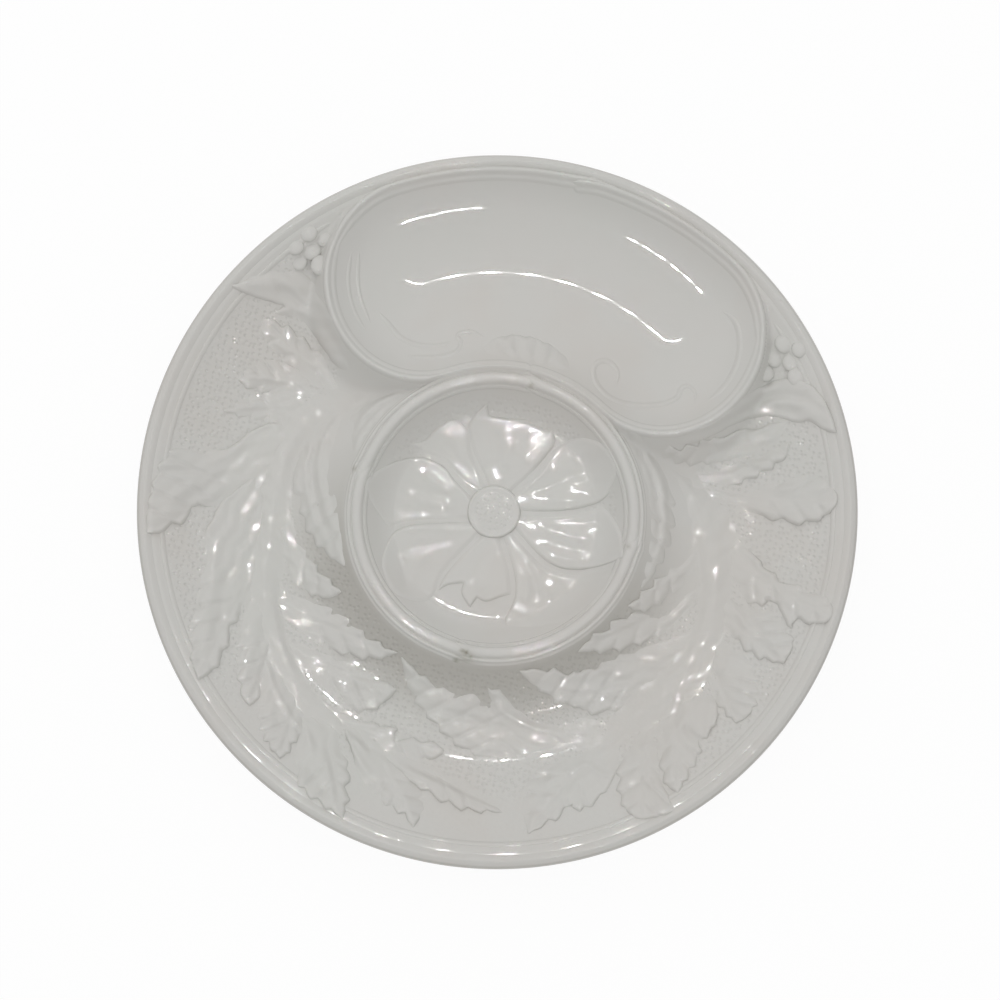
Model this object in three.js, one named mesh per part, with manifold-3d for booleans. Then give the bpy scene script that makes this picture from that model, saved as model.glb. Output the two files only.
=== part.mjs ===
// Artichoke plate in white glazed earthenware. Millimetres, +Z up, standing on z = 0, dip well towards +Y.
// The real plate is one fired piece. It is divided here as a potter builds it up: a formed blank, a foot,
// mouldings along its edges, and a flower, scrolls and leaf sprays laid on it as relief.
import * as THREE from 'three';
import { mergeVertices } from 'three/addons/utils/BufferGeometryUtils.js';
import Module from 'manifold-3d';

const wasm = await Module();
wasm.setup();

// Blank: heights are above the table
const PLATE_DIAMETER = 254;
const WALL = 5;
const RIM_HEIGHT = 24;
const RIM_LAND_WIDTH = 5.6;
const EDGE_ROUNDING = 1.4;
const TROUGH_DIAMETER = 160;
const CUP_DIAMETER = 99;
const CUP_HEIGHT = 22;
const CUP_FLOOR_HEIGHT = 11;
const CUP_FLOOR_DIAMETER = 72;
const CUP_LIP = 7; // clay between the top of the cup's wall and the hollow under it
const CUP_OFFSET = 3; // the cup stands this far off centre, away from the dip well

// Foot
const FOOT_HEIGHT = 4;
const FOOT_DIAMETER = 150;
const FOOT_WIDTH = 6;
const FOOT_CHAMFER = 1.2;
const FOOT_LAND = 10; // level clay inside the middle of the foot

// Mouldings along the rim, the cup and the dip well
const RIM_BEAD_WIDTH = 4.4;
const RIM_BEAD_HEIGHT = 2.2;
const RIM_LINE_WIDTH = 1.6;
const RIM_LINE_HEIGHT = 0.9;
const RIM_LINE_INSET = 8; // from the edge of the plate to the middle of the line
const REED_WIDTH = 5.4;
const REED_HEIGHT = 3.2;
const DIP_RIM_WIDTH = 3;
const DIP_RIM_HEIGHT = 1.9;

// Dip well, a bean-shaped bowl between the cup and the rim
const DIP_HALF_ANGLE = 30.6;
const DIP_FLOOR_HEIGHT = 8.5;
const DIP_FLOOR_HALF_WIDTH = 12;
const DIP_LAND_WIDTH = 5.4;
const DIP_SLOPE_WIDTH = 14; // outer slope from the land down to the trough

// Relief
const REEDS = 4;
const PETALS = 8;
const DISC_DIAMETER = 19;
const DISC_HEIGHT = 2.2;
const PETAL_LENGTH = 27;
const PETAL_HEIGHT = 1.4;
const STEM_WIDTH = 3;
const STEM_HEIGHT = 1.8;
const LEAF_WIDTH = 15;
const LEAF_HEIGHT = 2;
const LEAF_EDGE = 0.9;
const LEAF_LOBES = 3;
const LEAF_LEAST = 1.2; // width that a leaf keeps where its neighbours leave it little room
const LEAF_SLANT = 26; // degrees that the lobes lean towards the tip
const HUSK_WIDTH = 9;
const BERRY_DIAMETER = 6.4;
const SCROLL_WIDTH = 3.2;
const SCROLL_HEIGHT = 1.2;
const SHELL_LENGTH = 9;
const SHELL_WIDTH = 14;

// Shapes of the relief, as shares
const TAPER_LENGTH = 0.12; // of a moulding's length, at each end
const TAPER_WIDTH = 0.55; // of its width and height, at its very end
const MOULDING_EDGE = 0.4; // of its height, along its sides
const DISC_EDGE = 0.4; // of the boss's height, at its side
const BROAD_PETAL = 0.54; // of the spacing, on each side of a petal that lies on the plate's axes
const NARROW_LENGTH = 0.94; // of a broad petal's length
const PETAL_SHOULDER = 0.72; // of its length, where its tip begins to round
const PETAL_MIDDLE = 0.75; // of its height, along its middle line and again at its root
const SHELL_NECK = 0.45; // of the shell's width, where it starts
const SHELL_FLUTE = 0.7; // of its height, in its flutes
const LEAF_SINUS = 0.72; // of a leaf's width, between its lobes
const LEAF_ALONG = 0.45; // of a leaf's length that it runs with the stem before it turns away
const LEAF_AWAY = 0.2; // of its length that it leaves the stem by on that way
const BERRY_PITCH = 0.8; // of a berry's width, between the middles of two that touch

// Clearances: under a piece that lies on the blank, and between pieces beside each other
const SEAT_GAP = 0.3;
const SIDE_GAP = 0.5;

// Facets
const SEGMENTS = 60;
const MOULDING_STEPS = 48;
const BERRY_SIDES = 10;
const DIP_ARC_STEPS = 10;
const DIP_CAP_STEPS = 12;
const SAMPLE_STEP = 1; // between the points of a piece that others keep clear of
const MERGE_DISTANCE = 1e-4;

// Sizes that follow from those above
const PLATE_RADIUS = PLATE_DIAMETER / 2;
const RIM_INNER = PLATE_RADIUS - RIM_LAND_WIDTH;
const TROUGH_RADIUS = TROUGH_DIAMETER / 2;
const TROUGH_HEIGHT = FOOT_HEIGHT + WALL;
const CUP_RADIUS = CUP_DIAMETER / 2;
const CUP_LAND_INNER = CUP_RADIUS - REED_WIDTH / 2;
const CUP_LAND_OUTER = CUP_RADIUS + REED_WIDTH / 2;
const RIM_LINE_RADIUS = PLATE_RADIUS - RIM_LINE_INSET;
const DIP_RIM_NEAR = CUP_LAND_OUTER + SEAT_GAP + DIP_RIM_WIDTH / 2;
const DIP_RIM_FAR = RIM_INNER - SEAT_GAP - DIP_RIM_WIDTH / 2;
const DIP_ARC_RADIUS = (DIP_RIM_NEAR + DIP_RIM_FAR) / 2;
const DIP_RIM_OFFSET = (DIP_RIM_FAR - DIP_RIM_NEAR) / 2;
const DIP_MOUTH = DIP_RIM_OFFSET - DIP_LAND_WIDTH / 2;
const DIP_LAND_EDGE = DIP_RIM_OFFSET + DIP_LAND_WIDTH / 2;
const DIP_TURN = THREE.MathUtils.degToRad(DIP_HALF_ANGLE);
const DIP_END_TURN = DIP_TURN + Math.asin(DIP_LAND_EDGE / DIP_ARC_RADIUS);

// Curves of the blank, as powers of the share of the way along them
const CUP_WALL_POWER = 2.2;
const FLANGE_POWER = 1.7;
const BOWL_POWER = 2.6;
const SLOPE_POWER = 2;
const CURVE_STEPS = 6;

const { clamp, lerp, smoothstep } = THREE.MathUtils;
const steps = (count) => Array.from({ length: count + 1 }, (_, i) => i / count);
const point = (x, y) => new THREE.Vector2(x, y);

// A point of the plate by its turn from the dip well's axis, clockwise from above, and its radius
const onPlate = (turn, radius) => point(radius * Math.sin(turn), radius * Math.cos(turn));

// Upper side of the blank from the axis outwards
const upperProfile = [
  point(0, CUP_FLOOR_HEIGHT),
  ...steps(CURVE_STEPS).map((t) => point(
    lerp(CUP_FLOOR_DIAMETER / 2, CUP_LAND_INNER, t),
    lerp(CUP_FLOOR_HEIGHT, CUP_HEIGHT, t ** CUP_WALL_POWER),
  )),
  ...steps(CURVE_STEPS).map((t) => point(
    lerp(CUP_LAND_OUTER, TROUGH_RADIUS, t),
    lerp(TROUGH_HEIGHT, CUP_HEIGHT, (1 - t) ** CUP_WALL_POWER),
  )),
  ...steps(CURVE_STEPS).slice(1).map((t) => point(
    lerp(TROUGH_RADIUS, RIM_INNER, t),
    lerp(TROUGH_HEIGHT, RIM_HEIGHT, t ** FLANGE_POWER),
  )),
];

// Under side from the axis outwards, hollow under the wall of the cup as a cast plate is
const lowerProfile = [
  point(0, CUP_FLOOR_HEIGHT - WALL),
  point(CUP_LAND_INNER, CUP_FLOOR_HEIGHT - WALL),
  point(CUP_RADIUS, CUP_HEIGHT - CUP_LIP),
  point(CUP_RADIUS + WALL / 2, CUP_HEIGHT - CUP_LIP),
  point(FOOT_DIAMETER / 2 - FOOT_LAND, FOOT_HEIGHT),
  point(TROUGH_RADIUS, FOOT_HEIGHT),
  ...steps(CURVE_STEPS - 2).slice(1).map((t) => point(
    lerp(TROUGH_RADIUS, RIM_INNER, t),
    lerp(FOOT_HEIGHT, RIM_HEIGHT - WALL, t ** FLANGE_POWER),
  )),
];

// Distance of a point from the dip well's middle line
function dipDistance(x, y) {
  const turn = clamp(Math.atan2(x, y), -DIP_TURN, DIP_TURN);
  return onPlate(turn, DIP_ARC_RADIUS).distanceTo(point(x, y));
}

// Bowl of the dip well and the slope outside it, from the middle line outwards
const bowlProfile = [
  point(0, DIP_FLOOR_HEIGHT),
  ...steps(CURVE_STEPS).map((t) => point(
    lerp(DIP_FLOOR_HALF_WIDTH, DIP_MOUTH, t),
    lerp(DIP_FLOOR_HEIGHT, RIM_HEIGHT, t ** BOWL_POWER),
  )),
];
const slopeProfile = steps(CURVE_STEPS - 1).map((t) => point(
  DIP_LAND_EDGE + t * DIP_SLOPE_WIDTH,
  lerp(TROUGH_HEIGHT, RIM_HEIGHT, (1 - t) ** SLOPE_POWER),
));

// Height of a profile at a distance, level beyond its two ends
function heightOn(profile, distance) {
  const next = profile.findIndex((p) => p.x >= distance);
  if (next <= 0) {
    return profile.at(next).y;
  }
  const [a, b] = [profile[next - 1], profile[next]];
  return lerp(a.y, b.y, (distance - a.x) / (b.x - a.x));
}

// Height of the finished blank at a point
function groundAt(x, y) {
  const radius = Math.hypot(x, y);
  const distance = dipDistance(x, y);
  if (radius <= CUP_LAND_OUTER + SEAT_GAP) {
    return heightOn(upperProfile, radius);
  }
  if (distance <= DIP_MOUTH) {
    return heightOn(bowlProfile, distance);
  }
  return Math.max(heightOn(upperProfile, radius), heightOn(slopeProfile, distance));
}

// Moves a geometry's points with the cup, which stands off centre: fully at the cup, not at all at the rim
function settle(geometry) {
  const position = geometry.attributes.position;
  for (let i = 0; i < position.count; i += 1) {
    const radius = Math.hypot(position.getX(i), position.getY(i));
    const share = 1 - smoothstep(radius, CUP_LAND_OUTER, RIM_INNER);
    position.setY(i, position.getY(i) - CUP_OFFSET * share);
  }
  geometry.computeVertexNormals();
  return geometry;
}

// A closed geometry with shared points merged, empty triangles dropped and its faces turned outwards
function closed(geometry) {
  geometry.deleteAttribute('normal');
  geometry.deleteAttribute('uv');
  const merged = mergeVertices(geometry, MERGE_DISTANCE);
  const index = [...merged.index.array];
  const corners = Array.from({ length: merged.attributes.position.count }, (_, i) => (
    new THREE.Vector3().fromBufferAttribute(merged.attributes.position, i)));
  const triangles = Array.from({ length: index.length / 3 }, (_, i) => index.slice(3 * i, 3 * i + 3))
    .filter(([a, b, c]) => a !== b && b !== c && c !== a);
  const volume = triangles.reduce((sum, [a, b, c]) => (
    sum + corners[a].dot(corners[b].clone().cross(corners[c]))), 0);
  merged.setIndex(triangles.flatMap(([a, b, c]) => (volume > 0 ? [a, b, c] : [a, c, b])));
  return merged;
}

function solidOf(geometry) {
  const plain = closed(geometry);
  const vertProperties = Float32Array.from(plain.attributes.position.array);
  const triVerts = Uint32Array.from(plain.index.array);
  return new wasm.Manifold(new wasm.Mesh({ numProp: 3, vertProperties, triVerts }));
}

function geometryOf(solid) {
  const { vertProperties, triVerts } = solid.getMesh();
  const geometry = new THREE.BufferGeometry();
  geometry.setAttribute('position', new THREE.Float32BufferAttribute(vertProperties, 3));
  geometry.setIndex([...triVerts]);
  return geometry;
}

// A solid of revolution about the plate's axis, from points of radius and height
function turned(profile) {
  return closed(new THREE.LatheGeometry(profile, SEGMENTS).rotateX(Math.PI / 2));
}

// A grid of points as a closed skin: rows run along, and the columns of a row go round it. Rows that loop go
// round a middle line instead, where the first and the last column of each row lie.
function skin(rows, { loop = false } = {}) {
  const columns = rows[0].length;
  const index = [];
  const at = (i, j) => (i % rows.length) * columns + (j % columns);
  for (let i = 0; i < rows.length - (loop ? 0 : 1); i += 1) {
    for (let j = 0; j < columns - (loop ? 1 : 0); j += 1) {
      index.push(at(i, j), at(i + 1, j), at(i + 1, j + 1), at(i, j), at(i + 1, j + 1), at(i, j + 1));
    }
  }
  if (!loop) {
    const half = columns / 2;
    for (const [row, turn] of [[0, false], [rows.length - 1, true]]) {
      for (let j = 0; j < half - 1; j += 1) {
        const quad = [at(row, j), at(row, j + 1), at(row, columns - 2 - j), at(row, columns - 1 - j)];
        const [a, b, c, d] = turn ? quad.reverse() : quad;
        index.push(a, b, c, a, c, d);
      }
    }
  }
  const geometry = new THREE.BufferGeometry();
  geometry.setAttribute('position', new THREE.Float32BufferAttribute(rows.flat(2), 3));
  geometry.setIndex(index);
  return closed(geometry);
}

// Edge of the dip well at a distance from its middle line. Way 0 is the far middle at the plate's rim,
// 1 to 2 goes round the end on the given side (-1 left, 1 right), and 3 is the near middle at the cup.
function dipEdge(side, way, distance) {
  if (way <= 1) {
    return onPlate(side * way * DIP_TURN, DIP_ARC_RADIUS + distance);
  }
  if (way >= 2) {
    return onPlate(side * (3 - way) * DIP_TURN, DIP_ARC_RADIUS - distance);
  }
  const centre = onPlate(side * DIP_TURN, DIP_ARC_RADIUS);
  return centre.add(onPlate(side * (DIP_TURN + (way - 1) * Math.PI), distance));
}

// A bean-shaped solid from a profile of distance and height that starts and ends on the middle line
function beanSolid(profile) {
  const half = [
    ...steps(DIP_ARC_STEPS).slice(0, -1),
    ...steps(DIP_CAP_STEPS).slice(0, -1).map((t) => 1 + t),
    ...steps(DIP_ARC_STEPS).map((t) => 2 + t),
  ];
  const ring = [...half.map((way) => [1, way]), ...half.slice(1, -1).reverse().map((way) => [-1, way])];
  const rows = ring.map(([side, way]) => profile.map((p) => {
    const place = dipEdge(side, way, p.x);
    return [place.x, place.y, p.y];
  }));
  return solidOf(skin(rows, { loop: true }));
}

// Blank with its foot level, cup, trough, flange, rim land and dip well
function plateBody() {
  const edge = [
    point(PLATE_RADIUS - EDGE_ROUNDING, RIM_HEIGHT - WALL + EDGE_ROUNDING / 2),
    point(PLATE_RADIUS, RIM_HEIGHT - WALL + 2 * EDGE_ROUNDING),
    point(PLATE_RADIUS, RIM_HEIGHT - EDGE_ROUNDING),
    point(PLATE_RADIUS - EDGE_ROUNDING / 2, RIM_HEIGHT),
  ];
  const blank = solidOf(turned([...lowerProfile, ...edge, ...[...upperProfile].reverse()]));
  const clearHeight = 2 * RIM_HEIGHT;
  const above = solidOf(turned([
    ...lowerProfile, point(RIM_INNER, clearHeight), point(0, clearHeight)]));
  const cupRoom = solidOf(turned([
    ...upperProfile.slice(0, CURVE_STEPS + 2),
    point(CUP_LAND_OUTER + SEAT_GAP, CUP_HEIGHT),
    point(CUP_LAND_OUTER + SEAT_GAP, clearHeight),
    point(0, clearHeight),
  ]));
  const slope = beanSolid([point(0, 0), point(slopeProfile.at(-1).x, 0), ...[...slopeProfile].reverse(),
    point(0, RIM_HEIGHT)]);
  const shell = beanSolid([
    point(0, FOOT_HEIGHT),
    ...steps(CURVE_STEPS - 1).map((t) => point(
      lerp(DIP_FLOOR_HALF_WIDTH + WALL, DIP_LAND_EDGE, t),
      lerp(FOOT_HEIGHT, RIM_HEIGHT - WALL, t ** BOWL_POWER),
    )),
    point(DIP_LAND_EDGE, RIM_HEIGHT),
    point(0, RIM_HEIGHT),
  ]);
  const hollow = beanSolid([
    ...bowlProfile, point(DIP_MOUTH, clearHeight), point(0, clearHeight)]);
  return blank.add(slope.intersect(above)).add(shell).subtract(cupRoom).subtract(hollow);
}

// Unglazed ring that the plate stands on
function footRing() {
  const [inner, outer] = [(FOOT_DIAMETER - FOOT_WIDTH) / 2, (FOOT_DIAMETER + FOOT_WIDTH) / 2];
  const top = FOOT_HEIGHT - SEAT_GAP;
  return turned([
    point(inner + FOOT_CHAMFER, 0),
    point(outer - FOOT_CHAMFER, 0),
    point(outer, FOOT_CHAMFER),
    point(outer + FOOT_CHAMFER, top),
    point(inner - FOOT_CHAMFER, top),
    point(inner, FOOT_CHAMFER),
    point(inner + FOOT_CHAMFER, 0),
  ]);
}

// Half-round bead on the rim's land
function rimBead() {
  const middle = PLATE_RADIUS - EDGE_ROUNDING / 2 - RIM_BEAD_WIDTH / 2;
  const base = RIM_HEIGHT + SEAT_GAP;
  const arc = steps(CURVE_STEPS - 1).map((t) => point(
    middle + Math.cos(t * Math.PI) * RIM_BEAD_WIDTH / 2,
    base + Math.sin(t * Math.PI) * RIM_BEAD_HEIGHT,
  ));
  return turned([...arc, arc[0].clone()]);
}

// Relief laid on the blank: a spine from 0 to 1, half-widths to its left and right, and a height that
// depends on the share across (-1 left edge, 1 right edge) and along
function relief({ spine, rows, left, right, height, columns = [-1, 0, 1], slant = 0, seat = groundAt }) {
  const reach = 1e-3;
  return skin(rows.map((t) => {
    const here = spine(t);
    const along = spine(Math.min(1, t + reach)).sub(spine(Math.max(0, t - reach))).normalize();
    const places = columns.map((share) => {
      const width = Math.abs(share) * (share < 0 ? left(t) : right(t));
      const across = point(along.y, -along.x).multiplyScalar(Math.sign(share) * width * Math.cos(slant));
      return here.clone().add(across).addScaledVector(along, width * Math.sin(slant));
    });
    const lower = places.map((p) => [p.x, p.y, seat(p.x, p.y) + SEAT_GAP]);
    const upper = lower.map(([x, y, z], i) => [x, y, z + height(columns[i], t)]);
    return [...lower, ...upper.reverse()];
  }));
}

// Smooth way through points, from 0 to 1
function wayThrough(points) {
  const curve = new THREE.SplineCurve(points);
  return (t) => curve.getPoint(clamp(t, 0, 1));
}

// Half-round moulding along a spine, narrower at its two ends
function moulding(spine, width, height, count, seat = groundAt) {
  const swell = (t) => lerp(TAPER_WIDTH, 1, smoothstep(Math.min(t, 1 - t), 0, TAPER_LENGTH));
  const half = (t) => swell(t) * width / 2;
  return relief({
    spine,
    rows: steps(count),
    left: half,
    right: half,
    columns: [-1, -0.5, 0.5, 1],
    height: (share, t) => (Math.abs(share) === 1 ? MOULDING_EDGE : 1) * height * swell(t),
    seat,
  });
}

// Fine raised line inside the rim, round all of the plate but the dip well
function rimLine() {
  const start = DIP_TURN + Math.asin((DIP_LAND_EDGE + DIP_SLOPE_WIDTH / 2) / DIP_ARC_RADIUS);
  const spine = (t) => onPlate(lerp(start, 2 * Math.PI - start, t), RIM_LINE_RADIUS);
  return moulding(spine, RIM_LINE_WIDTH, RIM_LINE_HEIGHT, MOULDING_STEPS);
}

// One of the reeds that make the ring of the cup, from one tie to the next
function cupReed(number) {
  const span = 2 * Math.PI / REEDS;
  const gap = SIDE_GAP / CUP_RADIUS / 2;
  const spine = (t) => onPlate(lerp(span * number + gap, span * (number + 1) - gap, t), CUP_RADIUS);
  return moulding(spine, REED_WIDTH, REED_HEIGHT, Math.round(SEGMENTS / REEDS), () => CUP_HEIGHT);
}

// One scroll of the dip well's raised frame
function dipRim(side, from, to) {
  const spine = (t) => dipEdge(side, lerp(from, to, t), DIP_RIM_OFFSET);
  const count = Math.round((to - from) * DIP_CAP_STEPS);
  return moulding(spine, DIP_RIM_WIDTH, DIP_RIM_HEIGHT, count, () => RIM_HEIGHT);
}

// Scroll lying on the wall of the dip well: ways round its edge, and the share of the distance to its mouth
function dipScroll(side, places) {
  const spine = wayThrough(places.map(([way, share]) => dipEdge(side, way, share * DIP_MOUTH)));
  return moulding(spine, SCROLL_WIDTH, SCROLL_HEIGHT, CURVE_STEPS * places.length);
}

// Small shell on the wall of the dip well, over the cup
function dipShell() {
  const base = DIP_ARC_RADIUS - DIP_MOUTH + SIDE_GAP;
  const spine = (t) => onPlate(0, base + t * SHELL_LENGTH);
  const half = (t) => SHELL_WIDTH / 2 * lerp(SHELL_NECK, 1, Math.sin(t * Math.PI / 2));
  return relief({
    spine,
    rows: steps(CURVE_STEPS),
    left: half,
    right: half,
    columns: [-1, -0.5, 0, 0.5, 1],
    height: (share, t) => SCROLL_HEIGHT * (Math.abs(share) === 0.5 ? SHELL_FLUTE : 1) * (1 - t / 2),
  });
}

// Boss of the flower
function flowerDisc() {
  const radius = DISC_DIAMETER / 2;
  const base = CUP_FLOOR_HEIGHT + SEAT_GAP;
  const dome = steps(CURVE_STEPS / 2).map((t) => point(
    radius * Math.cos(t * Math.PI / 2),
    base + DISC_HEIGHT * lerp(DISC_EDGE, 1, Math.sin(t * Math.PI / 2)),
  ));
  dome.at(-1).x = 0;
  return turned([point(0, base), point(radius, base), ...dome]);
}

// One petal. The petals on the plate's axes are broader than those between them.
function flowerPetal(number) {
  const spacing = 2 * Math.PI / PETALS;
  const broad = number % 2 === 0;
  const start = DISC_DIAMETER / 2 + SIDE_GAP;
  const length = PETAL_LENGTH * (broad ? 1 : NARROW_LENGTH);
  const spread = (broad ? BROAD_PETAL : 1 - BROAD_PETAL) * spacing;
  const spine = (t) => onPlate(number * spacing, start + t * length);
  const half = (t) => {
    const radius = start + t * length;
    const tip = Math.sqrt(1 - smoothstep(t, PETAL_SHOULDER, 1 + SIDE_GAP / length));
    return radius * Math.tan(spread) * tip - SIDE_GAP / 2;
  };
  return relief({
    spine,
    rows: steps(CURVE_STEPS + 2),
    left: half,
    right: half,
    columns: [-1, -0.5, 0, 0.5, 1],
    height: (share, t) => PETAL_HEIGHT * (share === 0 ? PETAL_MIDDLE : 1) * lerp(PETAL_MIDDLE, 1, t),
  });
}

// Places on the trough by degrees from the end of the dip well's land and by share of the trough's width,
// 0 at the cup and 1 at the rim's line
const TROUGH_INNER = CUP_LAND_OUTER + DIP_RIM_WIDTH / 2;
const TROUGH_OUTER = RIM_LINE_RADIUS - RIM_LINE_WIDTH / 2 - SIDE_GAP;
function onTrough(side, [degrees, share]) {
  const turn = DIP_END_TURN + THREE.MathUtils.degToRad(degrees);
  return onPlate(side * turn, lerp(TROUGH_INNER, TROUGH_OUTER, share));
}

// The two sprays: a stem, then leaves by the degrees where each leaves the stem and the place of its tip
const SPRAYS = {
  left: {
    side: -1,
    stem: [[0, 0.21], [7, 0.28], [22, 0.38], [39, 0.43], [57, 0.5], [74, 0.55], [92, 0.58], [106, 0.58],
      [119, 0.63]],
    outer: [[2, 13, 0.86], [9, 23, 0.92], [19, 37, 0.95], [31, 53, 0.98], [48, 78, 0.97],
      [66, 87, 0.88], [78, 98, 0.94], [90, 112, 0.98], [103, 124, 0.95], [115, 138, 0.84]],
    inner: [[13, 33, 0.06], [37, 64, 0.08], [55, 78, 0.14], [75, 102, 0.1], [101, 129, 0.36]],
  },
  right: {
    side: 1,
    stem: [[-1, 0.15], [11, 0.26], [28, 0.38], [43, 0.46], [58, 0.55], [72, 0.58], [87, 0.51],
      [100, 0.45], [111, 0.58]],
    outer: [[1, 11, 0.86], [7, 22, 0.96], [18, 32, 0.8], [25, 42, 0.98], [37, 52, 0.93],
      [49, 65, 0.92], [59, 79, 0.97], [70, 90, 0.98], [83, 105, 0.94]],
    inner: [[7, 22, 0.06], [20, 38, 0.08], [35, 56, 0.07], [48, 67, 0.2], [60, 84, 0.12]],
  },
};
const HUSK_TIP = [6, 0.93];

// Pieces that leaves keep clear of: points along each, with its half-width, or none where the room is shared
const neighbours = [];
function hasRoom(place, reach, owner) {
  return neighbours.every((other) => other.owner === owner || other.points.every((p) => (
    p.distanceTo(place) >= (other.reach ?? reach) + SIDE_GAP)));
}

// Leaf that grows from beside its stem and bends away to its tip, lobed, as wide as its neighbours allow
function leafSpine(stem, stemShare, tip, outwards) {
  const step = 0.02;
  const from = stem(stemShare);
  const along = stem(Math.min(1, stemShare + step)).sub(stem(Math.max(0, stemShare - step))).normalize();
  const away = point(along.y, -along.x);
  if (away.dot(from) > 0 !== outwards) {
    away.negate();
  }
  const base = from.addScaledVector(away, STEM_WIDTH / 2 + SIDE_GAP);
  const length = base.distanceTo(tip);
  const bend = base.clone().addScaledVector(along, LEAF_ALONG * length)
    .addScaledVector(away, LEAF_AWAY * length);
  const curve = new THREE.QuadraticBezierCurve(base, bend, tip);
  return (t) => curve.getPoint(clamp(t, 0, 1));
}

function leaf(owner, spine, width) {
  const reach = 1e-3;
  const tries = 24;
  const slant = THREE.MathUtils.degToRad(LEAF_SLANT);
  const least = LEAF_LEAST / 2;
  const count = 2 * Math.round(LEAF_LOBES) + 1;
  const halfWidth = (t, sign) => {
    const row = Math.round(t * count);
    const lobe = row % 2 === 1 ? 1 : LEAF_SINUS;
    const wish = Math.max(least, lobe * width / 2 * Math.sin(Math.PI * t ** 0.8) ** 0.6);
    const along = spine(Math.min(1, t + reach)).sub(spine(Math.max(0, t - reach))).normalize();
    for (let i = 0; i < tries; i += 1) {
      const trial = wish * (1 - i / tries);
      const place = spine(t).add(point(along.y, -along.x).multiplyScalar(sign * trial * Math.cos(slant)));
      if (hasRoom(place.addScaledVector(along, trial * Math.sin(slant)), trial, owner)) {
        return trial;
      }
    }
    return 0;
  };
  const shares = steps(count);
  const room = shares.map((t) => [halfWidth(t, -1), halfWidth(t, 1)]);
  const first = room.findIndex((_, i) => room.slice(i).every((pair) => Math.min(...pair) >= least / 2));
  const at = (t) => room[Math.round(t * count)];
  return relief({
    spine,
    rows: shares.slice(first),
    left: (t) => at(t)[0],
    right: (t) => at(t)[1],
    columns: [-1, -0.5, 0, 0.5, 1],
    slant,
    height: (share, t) => lerp(lerp(LEAF_HEIGHT, LEAF_EDGE, t ** 3), LEAF_EDGE, Math.abs(share)),
  });
}

// Colours of the finished plate
const GLAZE = { color: 0xd8d6d0, roughness: 0.16, metalness: 0 };
const BARE_CLAY = { color: 0xd9cdb8, roughness: 0.85, metalness: 0 };

const plate = new THREE.Group();
plate.name = 'artichoke_plate';
function place(name, geometry, finish = GLAZE) {
  const mesh = new THREE.Mesh(settle(geometry), new THREE.MeshStandardMaterial(finish));
  mesh.name = name;
  plate.add(mesh);
}

const body = plateBody();
place('plate_body', geometryOf(body));
place('foot_ring', footRing(), BARE_CLAY);
place('rim_bead', rimBead());
place('rim_line', rimLine());

for (let i = 0; i < REEDS; i += 1) {
  place(`cup_reed_${i + 1}`, cupReed(i));
}

place('flower_disc', flowerDisc());
for (let i = 0; i < PETALS; i += 1) {
  place(`flower_petal_${i + 1}`, flowerPetal(i));
}

const SIDES = { left: -1, right: 1 };
const RIM_BREAK = 1.36; // way round the end where the far and the near scroll meet
const MIDDLE_GAP = 0.02;
for (const [name, side] of Object.entries(SIDES)) {
  place(`dip_rim_far_${name}`, dipRim(side, MIDDLE_GAP, RIM_BREAK - MIDDLE_GAP));
  place(`dip_rim_near_${name}`, dipRim(side, RIM_BREAK + MIDDLE_GAP, 3 - MIDDLE_GAP));
}
const LEFT_SCROLL = [[1.5, 0.78], [1.65, 0.6], [1.9, 0.68], [2.15, 0.7], [2.45, 0.64]];
const RIGHT_SCROLL = [[1.42, 0.74], [1.6, 0.68], [1.8, 0.72], [2, 0.75], [2.25, 0.72], [2.4, 0.6]];
place('dip_scroll_left', dipScroll(SIDES.left, LEFT_SCROLL));
place('dip_scroll_right', dipScroll(SIDES.right, RIGHT_SCROLL));
place('dip_shell', dipShell());

// Fruit at each end of the dip well: one berry at the rim and two that touch it, clear of the well's land
function berryCentres(side) {
  const pitch = BERRY_PITCH * BERRY_DIAMETER;
  const outer = RIM_INNER - SIDE_GAP - BERRY_DIAMETER / 2;
  const inner = outer - pitch * Math.cos(Math.PI / 6);
  const clear = DIP_LAND_EDGE + BERRY_DIAMETER + SIDE_GAP;
  const cosine = (inner ** 2 + DIP_ARC_RADIUS ** 2 - clear ** 2) / (2 * inner * DIP_ARC_RADIUS);
  const turn = DIP_TURN + Math.acos(cosine);
  const half = pitch / 2 / inner;
  const pair = [turn - half, turn + half].map((each) => onPlate(side * each, inner));
  return [onPlate(side * turn, outer), ...pair];
}

function berries(side) {
  const lifted = solidOf(geometryOf(body).translate(0, 0, SEAT_GAP));
  const lowered = solidOf(geometryOf(body).translate(0, 0, -WALL / 2));
  const centres = berryCentres(side);
  const height = centres.reduce((sum, p) => sum + groundAt(p.x, p.y), 0) / centres.length + SEAT_GAP;
  const domes = centres.map((p) => {
    const ball = new THREE.SphereGeometry(BERRY_DIAMETER / 2, BERRY_SIDES, BERRY_SIDES / 2);
    return solidOf(ball.translate(p.x, p.y, height));
  });
  return geometryOf(domes.reduce((all, dome) => all.add(dome)).subtract(lifted).subtract(lowered));
}

// Middle line of the husk leaf that curls out from each end of the dip well to the rim
function huskSpine(side) {
  const [root, bend] = [1.62, 1.45];
  return wayThrough([
    dipEdge(side, root, DIP_LAND_EDGE + HUSK_WIDTH / 2),
    dipEdge(side, bend, DIP_LAND_EDGE + HUSK_WIDTH),
    onTrough(side, HUSK_TIP),
  ]);
}

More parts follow.
